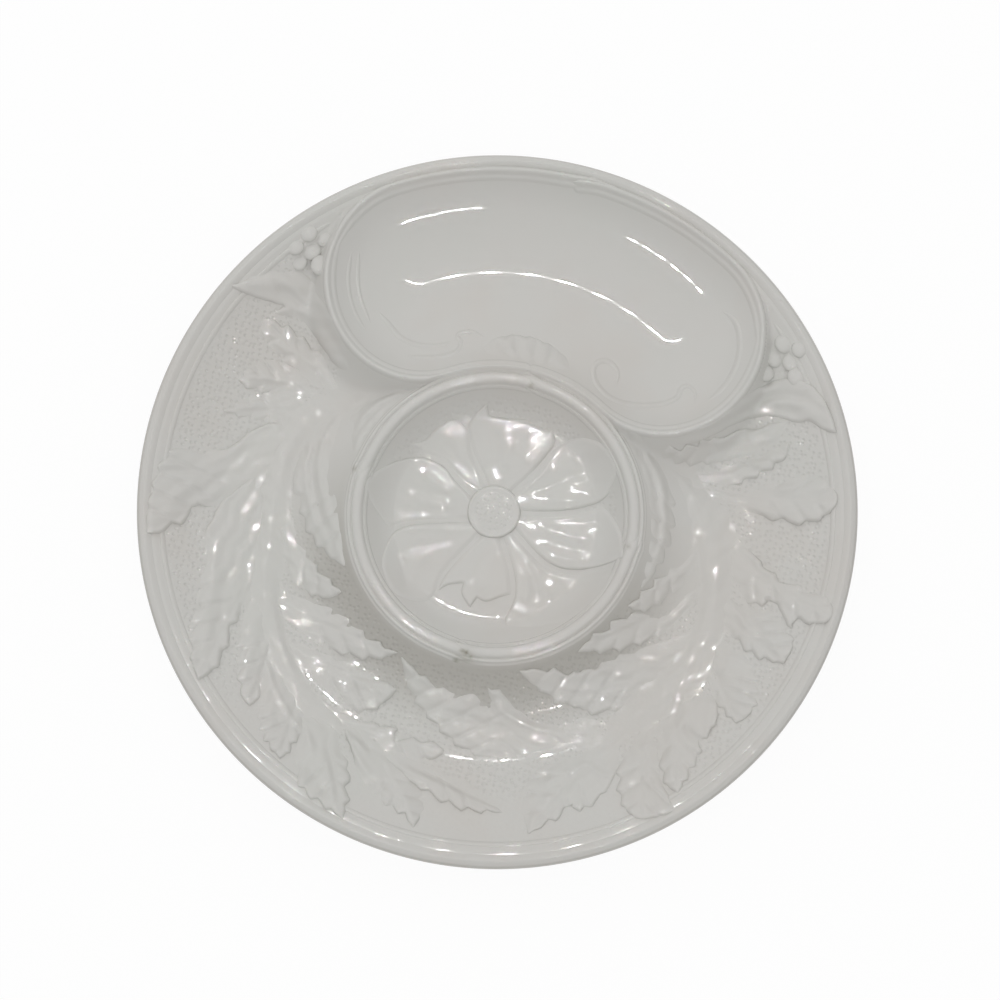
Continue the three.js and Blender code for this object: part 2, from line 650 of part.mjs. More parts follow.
// Points along a spine, about a step apart
function sample(spine) {
  const rough = steps(CURVE_STEPS).map((t) => spine(t));
  const length = rough.slice(1).reduce((sum, p, i) => sum + p.distanceTo(rough[i]), 0);
  return steps(Math.ceil(length / SAMPLE_STEP)).map((t) => spine(t));
}
const pending = [];
for (const [name, { side, stem, outer, inner }] of Object.entries(SPRAYS)) {
  const stemWay = wayThrough(stem.map((p) => onTrough(side, p)));
  const turnShare = (degrees) => {
    const after = stem.findIndex(([turn]) => turn >= degrees);
    const [a, b] = [stem[after - 1][0], stem[after][0]];
    return (after - 1 + (degrees - a) / (b - a)) / (stem.length - 1);
  };
  neighbours.push({ owner: `${name}_stem`, points: sample(stemWay), reach: STEM_WIDTH / 2 });
  neighbours.push({ owner: `berries_${name}`, points: berryCentres(side), reach: BERRY_DIAMETER / 2 });
  place(`${name}_stem`, moulding(stemWay, STEM_WIDTH, STEM_HEIGHT, Math.round(SEGMENTS / 2)));
  pending.push({ name: `husk_${name}`, spine: huskSpine(side), width: HUSK_WIDTH });
  for (const [kind, list] of Object.entries({ outer, inner })) {
    list.forEach(([from, turn, share], i) => {
      const spine = leafSpine(stemWay, turnShare(from), onTrough(side, [turn, share]), kind === 'outer');
      pending.push({ name: `${name}_${kind}_leaf_${i + 1}`, spine, width: LEAF_WIDTH });
    });
  }
}
for (const { name, spine } of pending) {
  neighbours.push({ owner: name, points: sample(spine) });
}
for (const { name, spine, width } of pending) {
  place(name, leaf(name, spine, width));
}

for (const [name, side] of Object.entries(SIDES)) {
  place(`berries_${name}`, berries(side));
}

export default plate;
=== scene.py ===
"""Looks of a glazed artichoke plate: cup, dip well and two acanthus sprays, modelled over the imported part."""

import logging
import math
from dataclasses import dataclass, field
from enum import Enum
from typing import Callable, Sequence

import bpy
import numpy as np
from mathutils import Matrix, Vector
from mathutils.geometry import delaunay_2d_cdt


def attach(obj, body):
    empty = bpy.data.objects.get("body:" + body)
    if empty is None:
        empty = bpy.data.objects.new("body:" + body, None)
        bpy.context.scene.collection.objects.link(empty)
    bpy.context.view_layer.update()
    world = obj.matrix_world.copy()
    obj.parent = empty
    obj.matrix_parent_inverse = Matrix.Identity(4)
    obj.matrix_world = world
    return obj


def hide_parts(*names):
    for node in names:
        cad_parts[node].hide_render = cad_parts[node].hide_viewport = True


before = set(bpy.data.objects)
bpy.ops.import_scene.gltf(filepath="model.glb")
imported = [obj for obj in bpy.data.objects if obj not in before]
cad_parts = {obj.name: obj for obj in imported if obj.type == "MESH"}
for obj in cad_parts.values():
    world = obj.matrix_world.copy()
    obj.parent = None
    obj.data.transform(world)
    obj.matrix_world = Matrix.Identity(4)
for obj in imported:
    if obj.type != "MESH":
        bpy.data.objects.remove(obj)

logging.basicConfig(level=logging.INFO, format="%(message)s")
log = logging.getLogger("artichoke_plate")

MM = 0.001
FAR_BELOW = -9.0
Pixels = Sequence[tuple[float, ...]]
Profile = Sequence[tuple[float, float]]
Colour = tuple[float, float, float]


class Slot(Enum):
    """Material slots of the record."""

    GLAZE = "glaze"
    BARE_CLAY = "bare_clay"


class Side(Enum):
    """Side of the dip well, seen with the well at the top."""

    LEFT = -1
    RIGHT = 1

    def rim(self) -> Profile:
        """Returns the section of the dip well's frame, with the well at its inner side."""
        return tuple((-self.value * u, h) for u, h in CREST[::-self.value])


def smooth(share: np.ndarray) -> np.ndarray:
    """Returns a share from 0 to 1 eased at both ends."""
    t = np.clip(share, 0.0, 1.0)
    return t * t * (3.0 - 2.0 * t)


def rise(at: np.ndarray, start: float, width: float) -> np.ndarray:
    """Returns 0 up to a start and 1 beyond its width, eased between.

    Args:
        at: the places or angles along the way.
        start: where it leaves 0.
        width: how far on it reaches 1.
    """
    return smooth((at - start) / width)


def soft_max(a: np.ndarray, b: np.ndarray, width: float) -> np.ndarray:
    """Returns the larger of two heights with the corner between them rounded.

    Args:
        a: first heights.
        b: second heights.
        width: height over which the corner is rounded.
    """
    h = np.clip(0.5 + 0.5 * (a - b) / width, 0.0, 1.0)
    return b + (a - b) * h + width * h * (1.0 - h)


@dataclass(frozen=True)
class Blank:
    """The formed clay blank, in millimetres, before its cup is set a little off the middle.

    The cup, the trough and the flange go by radius, the dip well by distance from its middle line.
    """

    cup_floor: float = 36.0
    cup_height: float = 12.4
    cup_top: float = 22.0
    cup_in: float = 46.8
    cup_out: float = 52.2
    cup_power: float = 1.5
    cup_seam: float = 51.6
    seam_width: float = 2.0
    cup_offset: float = 3.0
    trough: float = 80.0
    trough_height: float = 9.0
    wall_rise: float = 13.0
    wall_power: float = 2.2
    rim_in: float = 121.4
    flange_rise: float = 15.0
    flange_power: float = 1.7
    dip_turn: float = math.radians(30.6)
    dip_arc: float = 86.8
    dip_floor: float = 11.0
    dip_curve: float = 0.00933
    lip_start: float = 22.5
    lip_curve: float = 0.0218
    dip_edge: float = 36.52
    dip_land: float = 35.5
    land_rise: float = 15.0
    dip_slope: float = 14.0
    corner: float = 1.6
    under_plate: Profile = (
        (0.0, 6.0), (44.0, 6.0), (48.5, 12.5), (51.0, 15.0), (53.0, 14.5), (60.0, 6.0), (65.0, 4.0), (80.0, 4.0))
    under_bowl: float = 4.0
    under_start: float = 17.0
    under_reach: float = 18.5
    under_corner: float = 1.0

    def settle(self, x: np.ndarray, y: np.ndarray) -> np.ndarray:
        """Returns y with the cup set off the middle."""
        share = smooth((np.hypot(x, y) - self.cup_out) / (self.rim_in - self.cup_out))
        return y - self.cup_offset * (1.0 - share)

    def unsettle(self, x: np.ndarray, y: np.ndarray) -> np.ndarray:
        """Returns the y that settle turns into the given one."""
        found = y + self.cup_offset
        for _ in range(12):
            found = found + y - self.settle(x, found)
        return found

    def dip_distance(self, x: np.ndarray, y: np.ndarray) -> np.ndarray:
        """Returns the distance from the dip well's middle line."""
        turn = np.arctan2(x, y)
        end_x = np.sign(turn) * self.dip_arc * math.sin(self.dip_turn)
        end_y = self.dip_arc * math.cos(self.dip_turn)
        beside = np.abs(np.hypot(x, y) - self.dip_arc)
        return np.where(np.abs(turn) <= self.dip_turn, beside, np.hypot(x - end_x, y - end_y))

    def flange(self, r: np.ndarray) -> np.ndarray:
        """Returns how far the flange has risen above the trough at a radius."""
        share = np.clip((r - self.trough) / (self.rim_in - self.trough), 0, 1)
        return self.flange_rise * share**self.flange_power

    def upper(self, x: np.ndarray, y: np.ndarray) -> np.ndarray:
        """Returns the height of the upper side."""
        r = np.hypot(x, y)
        d = self.dip_distance(x, y)
        cup_wall = np.clip((r - self.cup_floor) / (self.cup_in - self.cup_floor), 0, 1) ** self.cup_power
        cup = self.cup_height + (self.cup_top - self.cup_height) * cup_wall
        share = np.clip((r - self.cup_out) / (self.trough - self.cup_out), 0, 1)
        wall = self.wall_rise * (1 - share) ** self.wall_power
        trough = self.trough_height + np.where(r < self.trough, wall, self.flange(r))
        plate = np.where(r < self.cup_in, cup, trough)
        bowl = self.dip_floor + self.dip_curve * d**2 + self.lip_curve * np.maximum(d - self.lip_start, 0) ** 2
        fall = np.clip((d - self.dip_land) / self.dip_slope, 0, 1)
        outside = soft_max(plate, self.trough_height + self.land_rise * (1 - fall) ** 2, self.corner)
        outer = np.where(d < self.dip_edge, -soft_max(-bowl, -outside, self.corner), outside)
        return plate + (outer - plate) * rise(r, self.cup_seam, self.seam_width)

    def under(self, x: np.ndarray, y: np.ndarray) -> np.ndarray:
        """Returns the height of the underside."""
        r = np.hypot(x, y)
        plate = np.interp(r, *zip(*self.under_plate)) + self.flange(r)
        share = np.clip((self.dip_distance(x, y) - self.under_start) / self.under_reach, 0, 4)
        bowl = self.under_bowl + self.land_rise * share**2
        return -soft_max(-plate, -bowl, self.under_corner)

    def well_edge(self, side: float, way: float, distance: float) -> tuple[float, float]:
        """Returns a place beside the dip well's middle line.

        Args:
            side: -1 left, 1 right.
            way: 0 far middle, 1 to 2 round the end, 3 near middle.
            distance: millimetres from the middle line.
        """
        end = (side * self.dip_arc * math.sin(self.dip_turn), self.dip_arc * math.cos(self.dip_turn))
        if way <= 1:
            turn, r = side * way * self.dip_turn, self.dip_arc + distance
            return r * math.sin(turn), r * math.cos(turn)
        if way >= 2:
            turn, r = side * (3 - way) * self.dip_turn, self.dip_arc - distance
            return r * math.sin(turn), r * math.cos(turn)
        angle = side * (self.dip_turn + (way - 1) * math.pi)
        return end[0] + distance * math.sin(angle), end[1] + distance * math.cos(angle)


BLANK = Blank()


@dataclass(frozen=True)
class Viewpoint:
    """Where the picture is taken from, and places on the plate by picture pixel."""

    azimuth: float = math.radians(13.1)
    elevation: float = math.radians(82.0)
    distance: float = 1.0
    aim_height: float = 0.024
    field: float = 0.352
    aim_pixel: tuple[float, float] = (497.3, 505.5)
    picture: float = 1000.0
    sensor: float = 36.0
    first_height: float = 15.0

    def axes(self) -> tuple[np.ndarray, np.ndarray, np.ndarray]:
        """Returns the forward, right and up directions."""
        a, e = self.azimuth, self.elevation
        forward = -np.array((math.sin(a) * math.cos(e), -math.cos(a) * math.cos(e), math.sin(e)))
        right = np.array((math.cos(a), math.sin(a), 0.0))
        return forward, right, np.cross(right, forward)

    def place(self, pixels: Pixels) -> np.ndarray:
        """Returns the places on the blank, in millimetres, that pixels of the picture look at."""
        forward, right, up = self.axes()
        eye = np.array((0.0, 0.0, self.aim_height)) - forward * self.distance
        px = np.array([(p[0], p[1]) for p in pixels], float)
        step = self.field / self.picture
        rays = forward + np.outer((px[:, 0] - self.aim_pixel[0]) * step, right)
        rays = rays - np.outer((px[:, 1] - self.aim_pixel[1]) * step, up)
        z = np.full(len(px), self.first_height)
        x = y = z
        for _ in range(8):
            hit = (eye + rays * ((z * MM - eye[2]) / rays[:, 2])[:, None]) / MM
            x, y = hit[:, 0], BLANK.unsettle(hit[:, 0], hit[:, 1])
            z = BLANK.upper(x, y)
        return np.stack((x, y), axis=1)

    def build(self) -> bpy.types.Object:
        """Returns the camera, set as the scene's own."""
        forward, right, up = self.axes()
        data = bpy.data.cameras.new("picture_camera")
        data.sensor_width = self.sensor
        data.lens = self.sensor * self.distance / self.field
        data.shift_x = 0.5 - self.aim_pixel[0] / self.picture
        data.shift_y = self.aim_pixel[1] / self.picture - 0.5
        data.clip_start = 0.05
        camera = bpy.data.objects.new("picture_camera", data)
        turn = Matrix((right, up, -forward)).transposed().to_4x4()
        turn.translation = Vector((0.0, 0.0, self.aim_height)) - Vector(forward) * self.distance
        camera.matrix_world = turn
        bpy.context.scene.collection.objects.link(camera)
        bpy.context.scene.camera = camera
        return camera


VIEW = Viewpoint()


def rounded(points: np.ndarray, times: int, closed: bool, keep: float = -1.0) -> np.ndarray:
    """Returns a row of points with its corners cut, so it reads as a curve.

    Args:
        points: the points, one a row, with any further values beside the place.
        times: how often the corners are cut.
        closed: whether the last point joins the first.
        keep: cosine of the turn beyond which a closed row's corner stays a point.
    """
    near, far = 0.75, 0.25
    for _ in range(times):
        ahead = np.roll(points, -1, axis=0)
        if not closed:
            pair = np.stack((near * points + far * ahead, far * points + near * ahead), axis=1)
            flat = pair.reshape(-1, points.shape[1])
            points = np.vstack((points[:1], flat[:-2][1:], points[-1:]))
            continue
        way = (ahead - points)[:, :2]
        way = way / np.maximum(np.hypot(*way.T), 1e-9)[:, None]
        sharp = (way * np.roll(way, 1, axis=0)).sum(1) < keep
        rows = []
        for i, point in enumerate(points):
            if sharp[i]:
                rows.append(point)
            else:
                rows += [near * point + far * points[i - 1], near * point + far * ahead[i]]
        points = np.array(rows)
    return points


def path_distance(places: np.ndarray, path: np.ndarray) -> tuple[np.ndarray, np.ndarray]:
    """Returns how far places lie from a path, and at which share of its length.

    Args:
        places: the places, one a row.
        path: the path's points in order.
    """
    step = np.diff(path, axis=0)
    length = np.hypot(*step.T)
    sums = np.concatenate(([0.0], np.cumsum(length)))
    best = np.full(len(places), np.inf)
    share = np.zeros(len(places))
    for start, way, size, before in zip(path[:-1], step, np.maximum(length, 1e-6), sums):
        away = places - start
        t = np.clip(away @ way / size**2, 0, 1)
        gap = np.hypot(away[:, 0] - t * way[0], away[:, 1] - t * way[1])
        near = gap < best
        best[near] = gap[near]
        share[near] = (before + t[near] * size) / sums[-1]
    return best, share


@dataclass
class Mesh:
    """Points in millimetres, faces and point values of one closed piece."""

    name: str
    points: np.ndarray
    faces: list[tuple[int, ...]]
    values: dict[str, np.ndarray] = field(default_factory=dict)

    def build(self, smooth_angle: float = 60.0) -> bpy.types.Object:
        """Returns the piece as an object, with its cup end settled and shaded smooth.

        Args:
            smooth_angle: degrees above which an edge stays sharp.
        """
        settled = self.points.copy()
        settled[:, 1] = BLANK.settle(self.points[:, 0], self.points[:, 1])
        data = bpy.data.meshes.new(self.name)
        data.from_pydata((settled * MM).tolist(), [], self.faces)
        for name, value in self.values.items():
            data.attributes.new(name, "FLOAT", "POINT").data.foreach_set("value", value.astype(np.float32))
        piece = bpy.data.objects.new(self.name, data)
        bpy.context.scene.collection.objects.link(piece)
        shade(piece, smooth_angle)
        return piece


def ring_faces(rows: int, count: int) -> list[tuple[int, ...]]:
    """Returns the faces between rings of points that follow one another.

    Args:
        rows: how many rings.
        count: points in each ring.
    """
    faces = []
    for start in range(0, (rows - 1) * count, count):
        for k in range(count):
            a, b = start + k, start + (k + 1) % count
            faces.append((a, b, b + count, a + count))
    return faces


def closed_faces(rows: int, count: int) -> list[tuple[int, ...]]:
    """Returns ring_faces with fans to a top and a bottom point, which come after the rings.

    Args:
        rows: how many rings.
        count: points in each ring.
    """
    top, last = rows * count, (rows - 1) * count
    pairs = [(k, (k + 1) % count) for k in range(count)]
    fans = [(top, b, a) for a, b in pairs] + [(top + 1, last + a, last + b) for a, b in pairs]
    return ring_faces(rows, count) + fans


def only(piece: bpy.types.Object) -> None:
    """Selects one piece alone and makes it the active one."""
    bpy.ops.object.select_all(action="DESELECT")
    piece.select_set(True)
    bpy.context.view_layer.objects.active = piece


def shade(piece: bpy.types.Object, angle: float) -> None:
    """Turns a piece's faces outwards and shades it smooth below an angle in degrees."""
    only(piece)
    bpy.ops.object.mode_set(mode="EDIT")
    bpy.ops.mesh.select_all(action="SELECT")
    bpy.ops.mesh.normals_make_consistent(inside=False)
    bpy.ops.object.mode_set(mode="OBJECT")
    bpy.ops.object.shade_smooth_by_angle(angle=math.radians(angle))


def fit(piece: bpy.types.Object, finish: "Finish", node: str) -> bpy.types.Object:
    """Gives a piece its finish and lets it stand for a node of the part.

    Args:
        piece: the finished shape.
        finish: what it is dressed in.
        node: the node that it stands for.
    """
    piece.data.materials.clear()
    piece.data.materials.append(finish.material())
    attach(piece, "root")
    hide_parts(node)
    log.info("%s: %d faces, stands for %s", piece.name, len(piece.data.polygons), node)
    return piece


class Finish:
    """A finish with its slot in the record and one shared material."""

    slot: Slot

    def material(self) -> bpy.types.Material:
        """Returns the finish's material, made on first use."""
        name = "plate_" + type(self).__name__.lower()
        return bpy.data.materials.get(name) or self.make(name)

    def make(self, name: str) -> bpy.types.Material:
        """Returns a new material of that name."""
        raise NotImplementedError


class Nodes:
    """A material's node tree, with short ways to add and join nodes."""

    def __init__(self, name: str) -> None:
        """Starts an empty node tree for a new material of that name."""
        self.material = bpy.data.materials.new(name)
        self.material.use_nodes = True
        self.tree = self.material.node_tree
        self.tree.nodes.clear()

    def add(self, kind: str, links: dict | None = None, **settings: object) -> bpy.types.Node:
        """Returns a new node.

        Args:
            kind: the node's type without its ShaderNode prefix.
            links: input name or number to a value or another node's output.
            settings: properties of the node.
        """
        node = self.tree.nodes.new("ShaderNode" + kind)
        for key, value in settings.items():
            setattr(node, key, value)
        for key, value in (links or {}).items():
            if isinstance(value, bpy.types.NodeSocket):
                self.tree.links.new(value, node.inputs[key])
            else:
                node.inputs[key].default_value = value
        return node

    def ramp(self, source: bpy.types.NodeSocket, stops: Sequence[tuple[float, Colour]]) -> bpy.types.NodeSocket:
        """Returns a colour ramp's output.

        Args:
            source: what drives the ramp.
            stops: places and colours along it.
        """
        node = self.add("ValToRGB", {"Fac": source})
        for index, (place, colour) in enumerate(stops):
            element = node.color_ramp.elements[index] if index < 2 else node.color_ramp.elements.new(place)
            element.position = place
            element.color = (*colour, 1.0)
        return node.outputs["Color"]


@dataclass(frozen=True)
class Glaze(Finish):
    """White tin glaze: warm grey white, glossy, darkened by painted shade in hollows, creases and on shaded walls,
    with a stain and painted shade at the cup ring's ties, stippled on the ground.

    Spacings and depths are in millimetres, scales in waves to the metre.
    """

    slot: Slot = Slot.GLAZE
    cool: Colour = (0.616, 0.613, 0.584)
    colour: Colour = (0.622, 0.613, 0.587)
    warm: Colour = (0.617, 0.599, 0.569)
    # The next colour is painted shade, mixed in where shade falls; the one after serves a real stain and painted
    # shade in the cup ring's tie recesses.
    pooled: Colour = (0.43, 0.415, 0.38)
    stained: Colour = (0.14, 0.125, 0.06)
    roughness: float = 0.027
    refraction: float = 1.5
    cloud_scale: float = 18.0
    pit_spacing: float = 2.0
    pit_depth: float = 0.22
    pit_disorder: float = 0.6
    peel_scale: float = 150.0
    peel_depth: float = 0.06
    peel_strength: float = 0.04

    def make(self, name: str) -> bpy.types.Material:
        """Returns the glaze as a new material."""
        n = Nodes(name)
        where = n.add("TexCoord").outputs["Object"]
        cloud = n.add("TexNoise", {"Vector": where, "Scale": self.cloud_scale, "Detail": 3.0, "Roughness": 0.55})
        tone = n.ramp(cloud.outputs["Fac"], ((0.36, self.cool), (0.64, self.warm), (0.5, self.colour)))
        # One point value mixes in painted shade, the other a real stain together with painted shade at the cup ring's
        # ties.
        for cover, colour in (("pool", self.pooled), ("stain", self.stained)):
            share = n.add("Attribute", attribute_name=cover).outputs["Fac"]
            mixed = n.add("Mix", {"Factor": share, "A": tone, "B": (*colour, 1.0)}, data_type="RGBA")
            tone = mixed.outputs["Result"]
        body = n.add("BsdfPrincipled", {"Base Color": tone, "Roughness": self.roughness, "IOR": self.refraction})
        density = 1.0 / (self.pit_spacing * MM)
        pits = n.add("TexVoronoi", {"Vector": where, "Scale": density, "Randomness": self.pit_disorder},
                     voronoi_dimensions="2D")
        pit = n.ramp(pits.outputs["Distance"], ((0.08, (0.0, 0.0, 0.0)), (0.36, (1.0, 1.0, 1.0))))
        mask = n.add("Attribute", attribute_name="stipple").outputs["Fac"]
        stipple = n.add("Bump", {"Strength": mask, "Distance": self.pit_depth * MM, "Height": pit})
        peel = n.add("TexNoise", {"Vector": where, "Scale": self.peel_scale, "Detail": 1.0})
        skin = n.add("Bump", {"Strength": self.peel_strength, "Distance": self.peel_depth * MM,
                              "Height": peel.outputs["Fac"], "Normal": stipple.outputs["Normal"]})
        n.tree.links.new(skin.outputs["Normal"], body.inputs["Normal"])
        n.add("OutputMaterial", {"Surface": body.outputs["BSDF"]})
        return n.material


@dataclass(frozen=True)
class BareClay(Finish):
    """Unglazed foot: fine, matt, buff clay with a little grit."""

    slot: Slot = Slot.BARE_CLAY
    colour: Colour = (0.52, 0.45, 0.36)
    worn: Colour = (0.42, 0.35, 0.27)
    roughness: float = 0.85
    cloud_scale: float = 90.0
    grit_scale: float = 1500.0
    grit_depth: float = 0.3
    grit_strength: float = 0.3

    def make(self, name: str) -> bpy.types.Material:
        """Returns the clay as a new material."""
        n = Nodes(name)
        where = n.add("TexCoord").outputs["Object"]
        cloud = n.add("TexNoise", {"Vector": where, "Scale": self.cloud_scale, "Detail": 5.0})
        tone = n.ramp(cloud.outputs["Fac"], ((0.4, self.colour), (0.68, self.worn)))
        grit = n.add("TexNoise", {"Vector": where, "Scale": self.grit_scale, "Detail": 2.0})
        bump = n.add("Bump", {"Strength": self.grit_strength, "Distance": self.grit_depth * MM,
                              "Height": grit.outputs["Fac"]})
        body = n.add("BsdfPrincipled", {"Base Color": tone, "Roughness": self.roughness,
                                        "Normal": bump.outputs["Normal"]})
        n.add("OutputMaterial", {"Surface": body.outputs["BSDF"]})
        return n.material


GLAZE = Glaze()
CLAY = BareClay()


@dataclass(frozen=True)
class Mark:
    """A ridge or a groove drawn along a path in the picture.

    The height is above the surface, negative for a groove; the width is to where it has all but faded. Towards
    its ends it fades to a share of its height.
    """

    height: float
    width: float
    path: Pixels
    end_fade: float = 5.0
    end_share: float = 0.15

    def lift(self, places: np.ndarray) -> np.ndarray:
        """Returns what the mark adds to the height at places, in millimetres."""
        path = rounded(VIEW.place(self.path), 2, False)
        found = np.zeros(len(places))
        near = ((places > path.min(0) - self.width) & (places < path.max(0) + self.width)).all(1)
        gap, share = path_distance(places[near], path)
        fade = np.clip(np.minimum(share, 1 - share) * self.end_fade + self.end_share, 0, 1)
        found[near] = self.height * np.exp(-((gap / (0.5 * self.width)) ** 2)) * fade
        return found


Leaf = tuple[Pixels, tuple[Mark, ...]]


@dataclass
class Blade:
    """A leaf or petal: an outline in the picture, each point with its lift off the ground in millimetres.

    Bulge and streak are heights; reach, edge, tooth length and streak width are distances along the ground. Lobe and
    groove shape the side lobes, keep is the turn beyond which a corner stays sharp, and sink is how far it is buried.
    """

    node: str
    outline: Pixels
    marks: tuple[Mark, ...] = ()
    bulge: float = 0.5
    bulge_reach: float = 4.0
    edge: float = 1.4
    tooth: float = 0.1
    tooth_length: float = 3.6
    streak: float = 0.12
    streak_width: float = 4.6
    sink: float = 0.4
    stretch: float = 1.0
    keep: float = 0.45
    lobe: float = 0.0
    lobe_up: float = 0.72
    lobe_down: float = 0.28
    groove: float = 0.5
    soft: float = 2.8
    dimple: float = 0.45
    spacing: float = 0.55

    def __post_init__(self) -> None:
        """Places the outline on the blank, finds the blade's own direction and cuts its teeth and lobes."""
        lift = np.array([[p[2] * self.stretch] for p in self.outline])
        line = rounded(np.hstack((VIEW.place(self.outline), lift)), 2, True, self.keep)
        step = np.hypot(*(np.roll(line, -1, axis=0) - line)[:, :2].T)
        along = np.concatenate(([0.0], np.cumsum(step)))
        closed = np.vstack((line, line[:1]))
        at = np.arange(0, along[-1], self.spacing)
        line = np.column_stack([np.interp(at, along, closed[:, k]) for k in range(3)])
        root = line[line[:, 2] <= np.quantile(line[:, 2], 0.3), :2].mean(0)
        tip = line[np.hypot(*(line[:, :2] - root).T).argmax(), :2]
        self.axis = (tip - root) / max(np.hypot(*(tip - root)), 1e-6)
        self.root, self.length = root, float(np.hypot(*(tip - root)))
        self.seed = sum(map(ord, self.node)) * 0.7
        wander = 0.6 * np.sin(at * 0.9 + self.axis[0] * 5)
        scallop = np.abs(np.sin(math.pi * at / self.tooth_length)) - 0.6 + wander
        share, turn, _ = self.lobes(line[:, :2])
        saw = np.where(turn < self.lobe_up, turn / self.lobe_up, (1 - turn) / self.lobe_down) - 0.55
        reach = rise(share, 0.15, 0.25) * (1 - rise(share, 0.82, 0.15))
        cut = (self.tooth * scallop + self.lobe * saw * reach) * rise(line[:, 2], 0.3, 0.5)
        line[:, :2] += outward(line[:, :2]) * cut[:, None]
        self.line = line
        self.loop = np.vstack((line[:, :2], line[:1, :2]))

    def lobes(self, xy: np.ndarray) -> tuple[np.ndarray, np.ndarray, np.ndarray]:
        """Returns the share of the leaf's length, the place within a side lobe and the distance from the midrib."""
        u = (xy - self.root) @ self.axis
        v = np.abs((xy - self.root) @ np.array((-self.axis[1], self.axis[0])))
        pitch = min(max(self.length / 4.5, 4.5), 8.5)
        return u / max(self.length, 1e-6), np.mod((u - 0.8 * v) / pitch + 0.3 * self.seed, 1.0), v

    def height(self, xy: np.ndarray) -> np.ndarray:
        """Returns the blade's own height above the ground at places, far below it outside the outline."""
        found = np.full(len(xy), FAR_BELOW)
        low, high = self.loop.min(0), self.loop.max(0)
        near = np.flatnonzero(((xy >= low) & (xy <= high)).all(1))
        near = near[inside(xy[near], self.loop)]
        if len(near):
            found[near] = self.own(xy[near])
        return found

    def own(self, xy: np.ndarray) -> np.ndarray:
        """Returns the height above the ground at places within the outline."""
        gap, _ = path_distance(xy, self.loop)
        some = self.line[::3]
        away = np.hypot(xy[:, None, 0] - some[None, :, 0], xy[:, None, 1] - some[None, :, 1])
        weight = 1.0 / (away + 0.3) ** 3
        lift = (weight * some[None, :, 2]).sum(1) / weight.sum(1)
        steep = rise(lift, 0.35, 0.6)
        g = np.clip(gap / (self.edge * (1 + self.soft * (1 - steep))), 0, 1)
        round_off = steep * np.sqrt(np.clip(1 - (1 - g) ** 2, 0, 1)) + (1 - steep) * smooth(g)
        buried = 0.1 + (self.sink - 0.1) * steep
        height = (lift + buried) * round_off - buried
        height = height + self.bulge * (1 - np.exp(-((gap / self.bulge_reach) ** 2)))
        height = height + self.streak * self.waves(xy) * smooth(gap / 2.0)
        if self.lobe:
            share, turn, off = self.lobes(xy)
            valley = np.exp(-((np.minimum(turn, 1 - turn) / 0.13) ** 2))
            fall = rise(share, 0.2, 0.3) * smooth(off / 3.0) * smooth(gap / 0.8)
            height = height + (0.5 * np.sin(math.pi * turn) - valley) * self.groove * fall
            midrib = np.exp(-((off / 0.8) ** 2)) * rise(share, 0.1, 0.2) * smooth(gap / 2)
            height = height - 0.5 * self.groove * midrib
        for mark in self.marks:
            height = height + mark.lift(xy) * round_off
        return height

    def waves(self, xy: np.ndarray) -> np.ndarray:
        """Returns the uneven streaks along the blade and the dimples between them, about 1 high."""
        u, v = xy @ self.axis, xy @ np.array((-self.axis[1], self.axis[0]))
        wave = np.sin(2 * math.pi * v / self.streak_width + np.sin(u / 2.3 + self.seed) + self.seed)
        wave = wave + 0.7 * np.sin(2 * math.pi * (v + 0.35 * u) / (1.7 * self.streak_width) + 2.1 * self.seed)
        across = np.sin(u + 1.7 * np.sin(v / 1.9 + self.seed))
        return wave + self.dimple * (across * np.sin(1.2 * v + 1.1 * np.sin(u / 2.7 + self.seed)))


def outward(line: np.ndarray) -> np.ndarray:
    """Returns the outward directions of a closed line."""
    ahead = np.roll(line, -1, axis=0) - np.roll(line, 1, axis=0)
    normal = np.stack((ahead[:, 1], -ahead[:, 0]), axis=1)
    area = np.sum(line[:, 0] * np.roll(line[:, 1], -1) - line[:, 1] * np.roll(line[:, 0], -1))
    return normal / np.maximum(np.hypot(*normal.T), 1e-6)[:, None] * np.sign(area)


def inside(places: np.ndarray, loop: np.ndarray) -> np.ndarray:
    """Returns whether places lie within a closed loop."""
    a, b = loop[:-1], loop[1:]
    x, y = places[:, 0:1], places[:, 1:2]
    spans = (a[None, :, 1] > y) != (b[None, :, 1] > y)
    rise = np.where(b[:, 1] == a[:, 1], 1e-12, b[:, 1] - a[:, 1])
    cross = (b[:, 0] - a[:, 0]) * (y - a[:, 1]) / rise + a[:, 0]
    return (np.sum(spans & (x < cross), axis=1) % 2) == 1


BUBBLES: Pixels = ((345, 668, 8, .5), (375, 684, 8, .5), (360, 700, 6, .4), (435, 726, 8, .45), (508, 790, 7, .5),
                   (570, 712, 9, .5), (615, 705, 9, .5))


